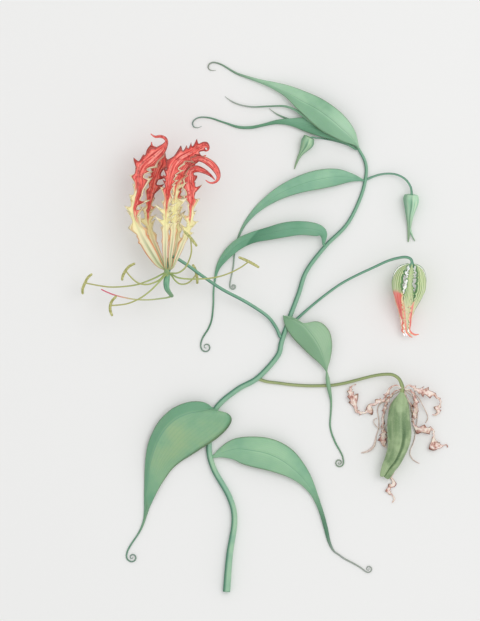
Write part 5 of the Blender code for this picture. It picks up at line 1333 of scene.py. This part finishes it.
class LILY_OT_withered(bpy.types.Operator):
    """Build the withered tepals and filaments round the pod"""

    bl_idname = "lily.withered"
    bl_label = "Withered Parts"

    def execute(self, context):
        look = withered_material("lily_withered")
        for index, route in enumerate(WITHERED_TEPALS):
            name = f"withered_tepal_{index + 1}"
            rows = np.array([(*row, row[3]) for row in (WITHERED_FOOT, *route)])
            # withered tepals are slimmer than their solids
            rows[:, 3:] = np.maximum(0.28, 0.85 * rows[:, 3:] - 0.25)
            rows = even_rows(rows, WITHERED_STEP)
            form = crisped(WITHERED_STEP * len(rows), index, pitch=3.6, reach=1.7, rise=0.7,
                           lean=1.3, start=0.05, groove=0.1)
            piece = sheet(name + "_blade", rows, WITHERED_COLUMNS, WITHERED_THICKNESS, UP, form,
                          tail=0.3)
            place_piece(piece, "withered", look, name)
        thread_look = patched_material(
            "lily_withered_thread", ((0.3, "#bda499"), (0.7, "#e2d4ca")), 2.0, roughness=0.8)
        for number, route in enumerate(WITHERED_FILAMENTS, start=1):
            name = f"withered_filament_{number}"
            thinner = [(x, y, z, 0.8 * radius) for x, y, z, radius in (WITHERED_FOOT, *route)]
            place_tube(name + "_skin", thinner, THREAD_STEP, WITHERED_SIDES, "withered",
                       thread_look, name)
        return {"FINISHED"}


# The floor is a little under the plant, so that what lies on it doesn't meet it. In metres
FLOOR_LEVEL = -0.00005
ROOM_LIGHT = 0.8
KEY_PLACE, KEY_SIZE, KEY_POWER = (0.8, 0.45, 2.0), 1.4, 14.0
# Far off with a long lens, so that it looks straight down on every part
CAMERA_PLACE, CAMERA_LENS = (-0.0153, 0.0099, 2.07), 200.0


class LILY_OT_stage(bpy.types.Operator):
    """Set the floor, the light and the camera"""

    bl_idname = "lily.stage"
    bl_label = "Stage"

    def execute(self, context):
        deselect_all()
        bpy.ops.mesh.primitive_plane_add(size=settings().floor_size,
                                         location=(0, 0, FLOOR_LEVEL))
        floor = context.object
        floor.name = "floor"
        board, _ = new_material("matt_board")
        wire(board.node_tree.nodes["Principled BSDF"], (), {
            "Base Color": settings().floor_colour, "Roughness": 0.9, "Specular IOR Level": 0.1})
        floor.data.materials.append(board)

        world = bpy.data.worlds.new("soft_room")
        context.scene.world = world
        world.use_nodes = True
        wire(world.node_tree.nodes["Background"], ("#ffffff", ROOM_LIGHT), {})

        bpy.ops.object.light_add(type="AREA", location=KEY_PLACE)
        key = context.object
        key.name = "key_light"
        key.data.size = KEY_SIZE
        key.data.energy = KEY_POWER
        key.rotation_euler = (-key.location).to_track_quat("-Z", "Y").to_euler()

        bpy.ops.object.camera_add(location=CAMERA_PLACE)
        camera = context.object
        camera.name = "camera"
        camera.data.lens = CAMERA_LENS
        camera.rotation_euler = (0, 0, 0)
        context.scene.camera = camera
        context.scene.view_settings.view_transform = "Standard"
        return {"FINISHED"}


OPERATORS = (LILY_OT_stem, LILY_OT_leaves, LILY_OT_flower, LILY_OT_buds, LILY_OT_opening_bud,
             LILY_OT_pod, LILY_OT_withered, LILY_OT_stage)


class LILY_PT_panel(bpy.types.Panel):
    """The lily's pieces and sizes, in the sidebar"""

    bl_idname = "LILY_PT_panel"
    bl_label = "Glory Lily"
    bl_space_type = "VIEW_3D"
    bl_region_type = "UI"
    bl_category = "Glory Lily"

    def draw(self, context):
        for key in GloryLilySettings.__annotations__:
            self.layout.prop(settings(), key)
        for operator in OPERATORS:
            self.layout.operator(operator.bl_idname)


CLASSES = (GloryLilySettings, *OPERATORS, LILY_PT_panel)


def register():
    for item in CLASSES:
        bpy.utils.register_class(item)
    bpy.types.Scene.glory_lily = bpy.props.PointerProperty(type=GloryLilySettings)


def unregister():
    del bpy.types.Scene.glory_lily
    for item in reversed(CLASSES):
        bpy.utils.unregister_class(item)


def main():
    register()
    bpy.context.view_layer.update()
    bpy.ops.lily.stem()
    bpy.ops.lily.leaves()
    bpy.ops.lily.flower()
    bpy.ops.lily.buds()
    bpy.ops.lily.opening_bud()
    bpy.ops.lily.pod()
    bpy.ops.lily.withered()
    bpy.ops.lily.stage()


if __name__ == "__main__":
    main()
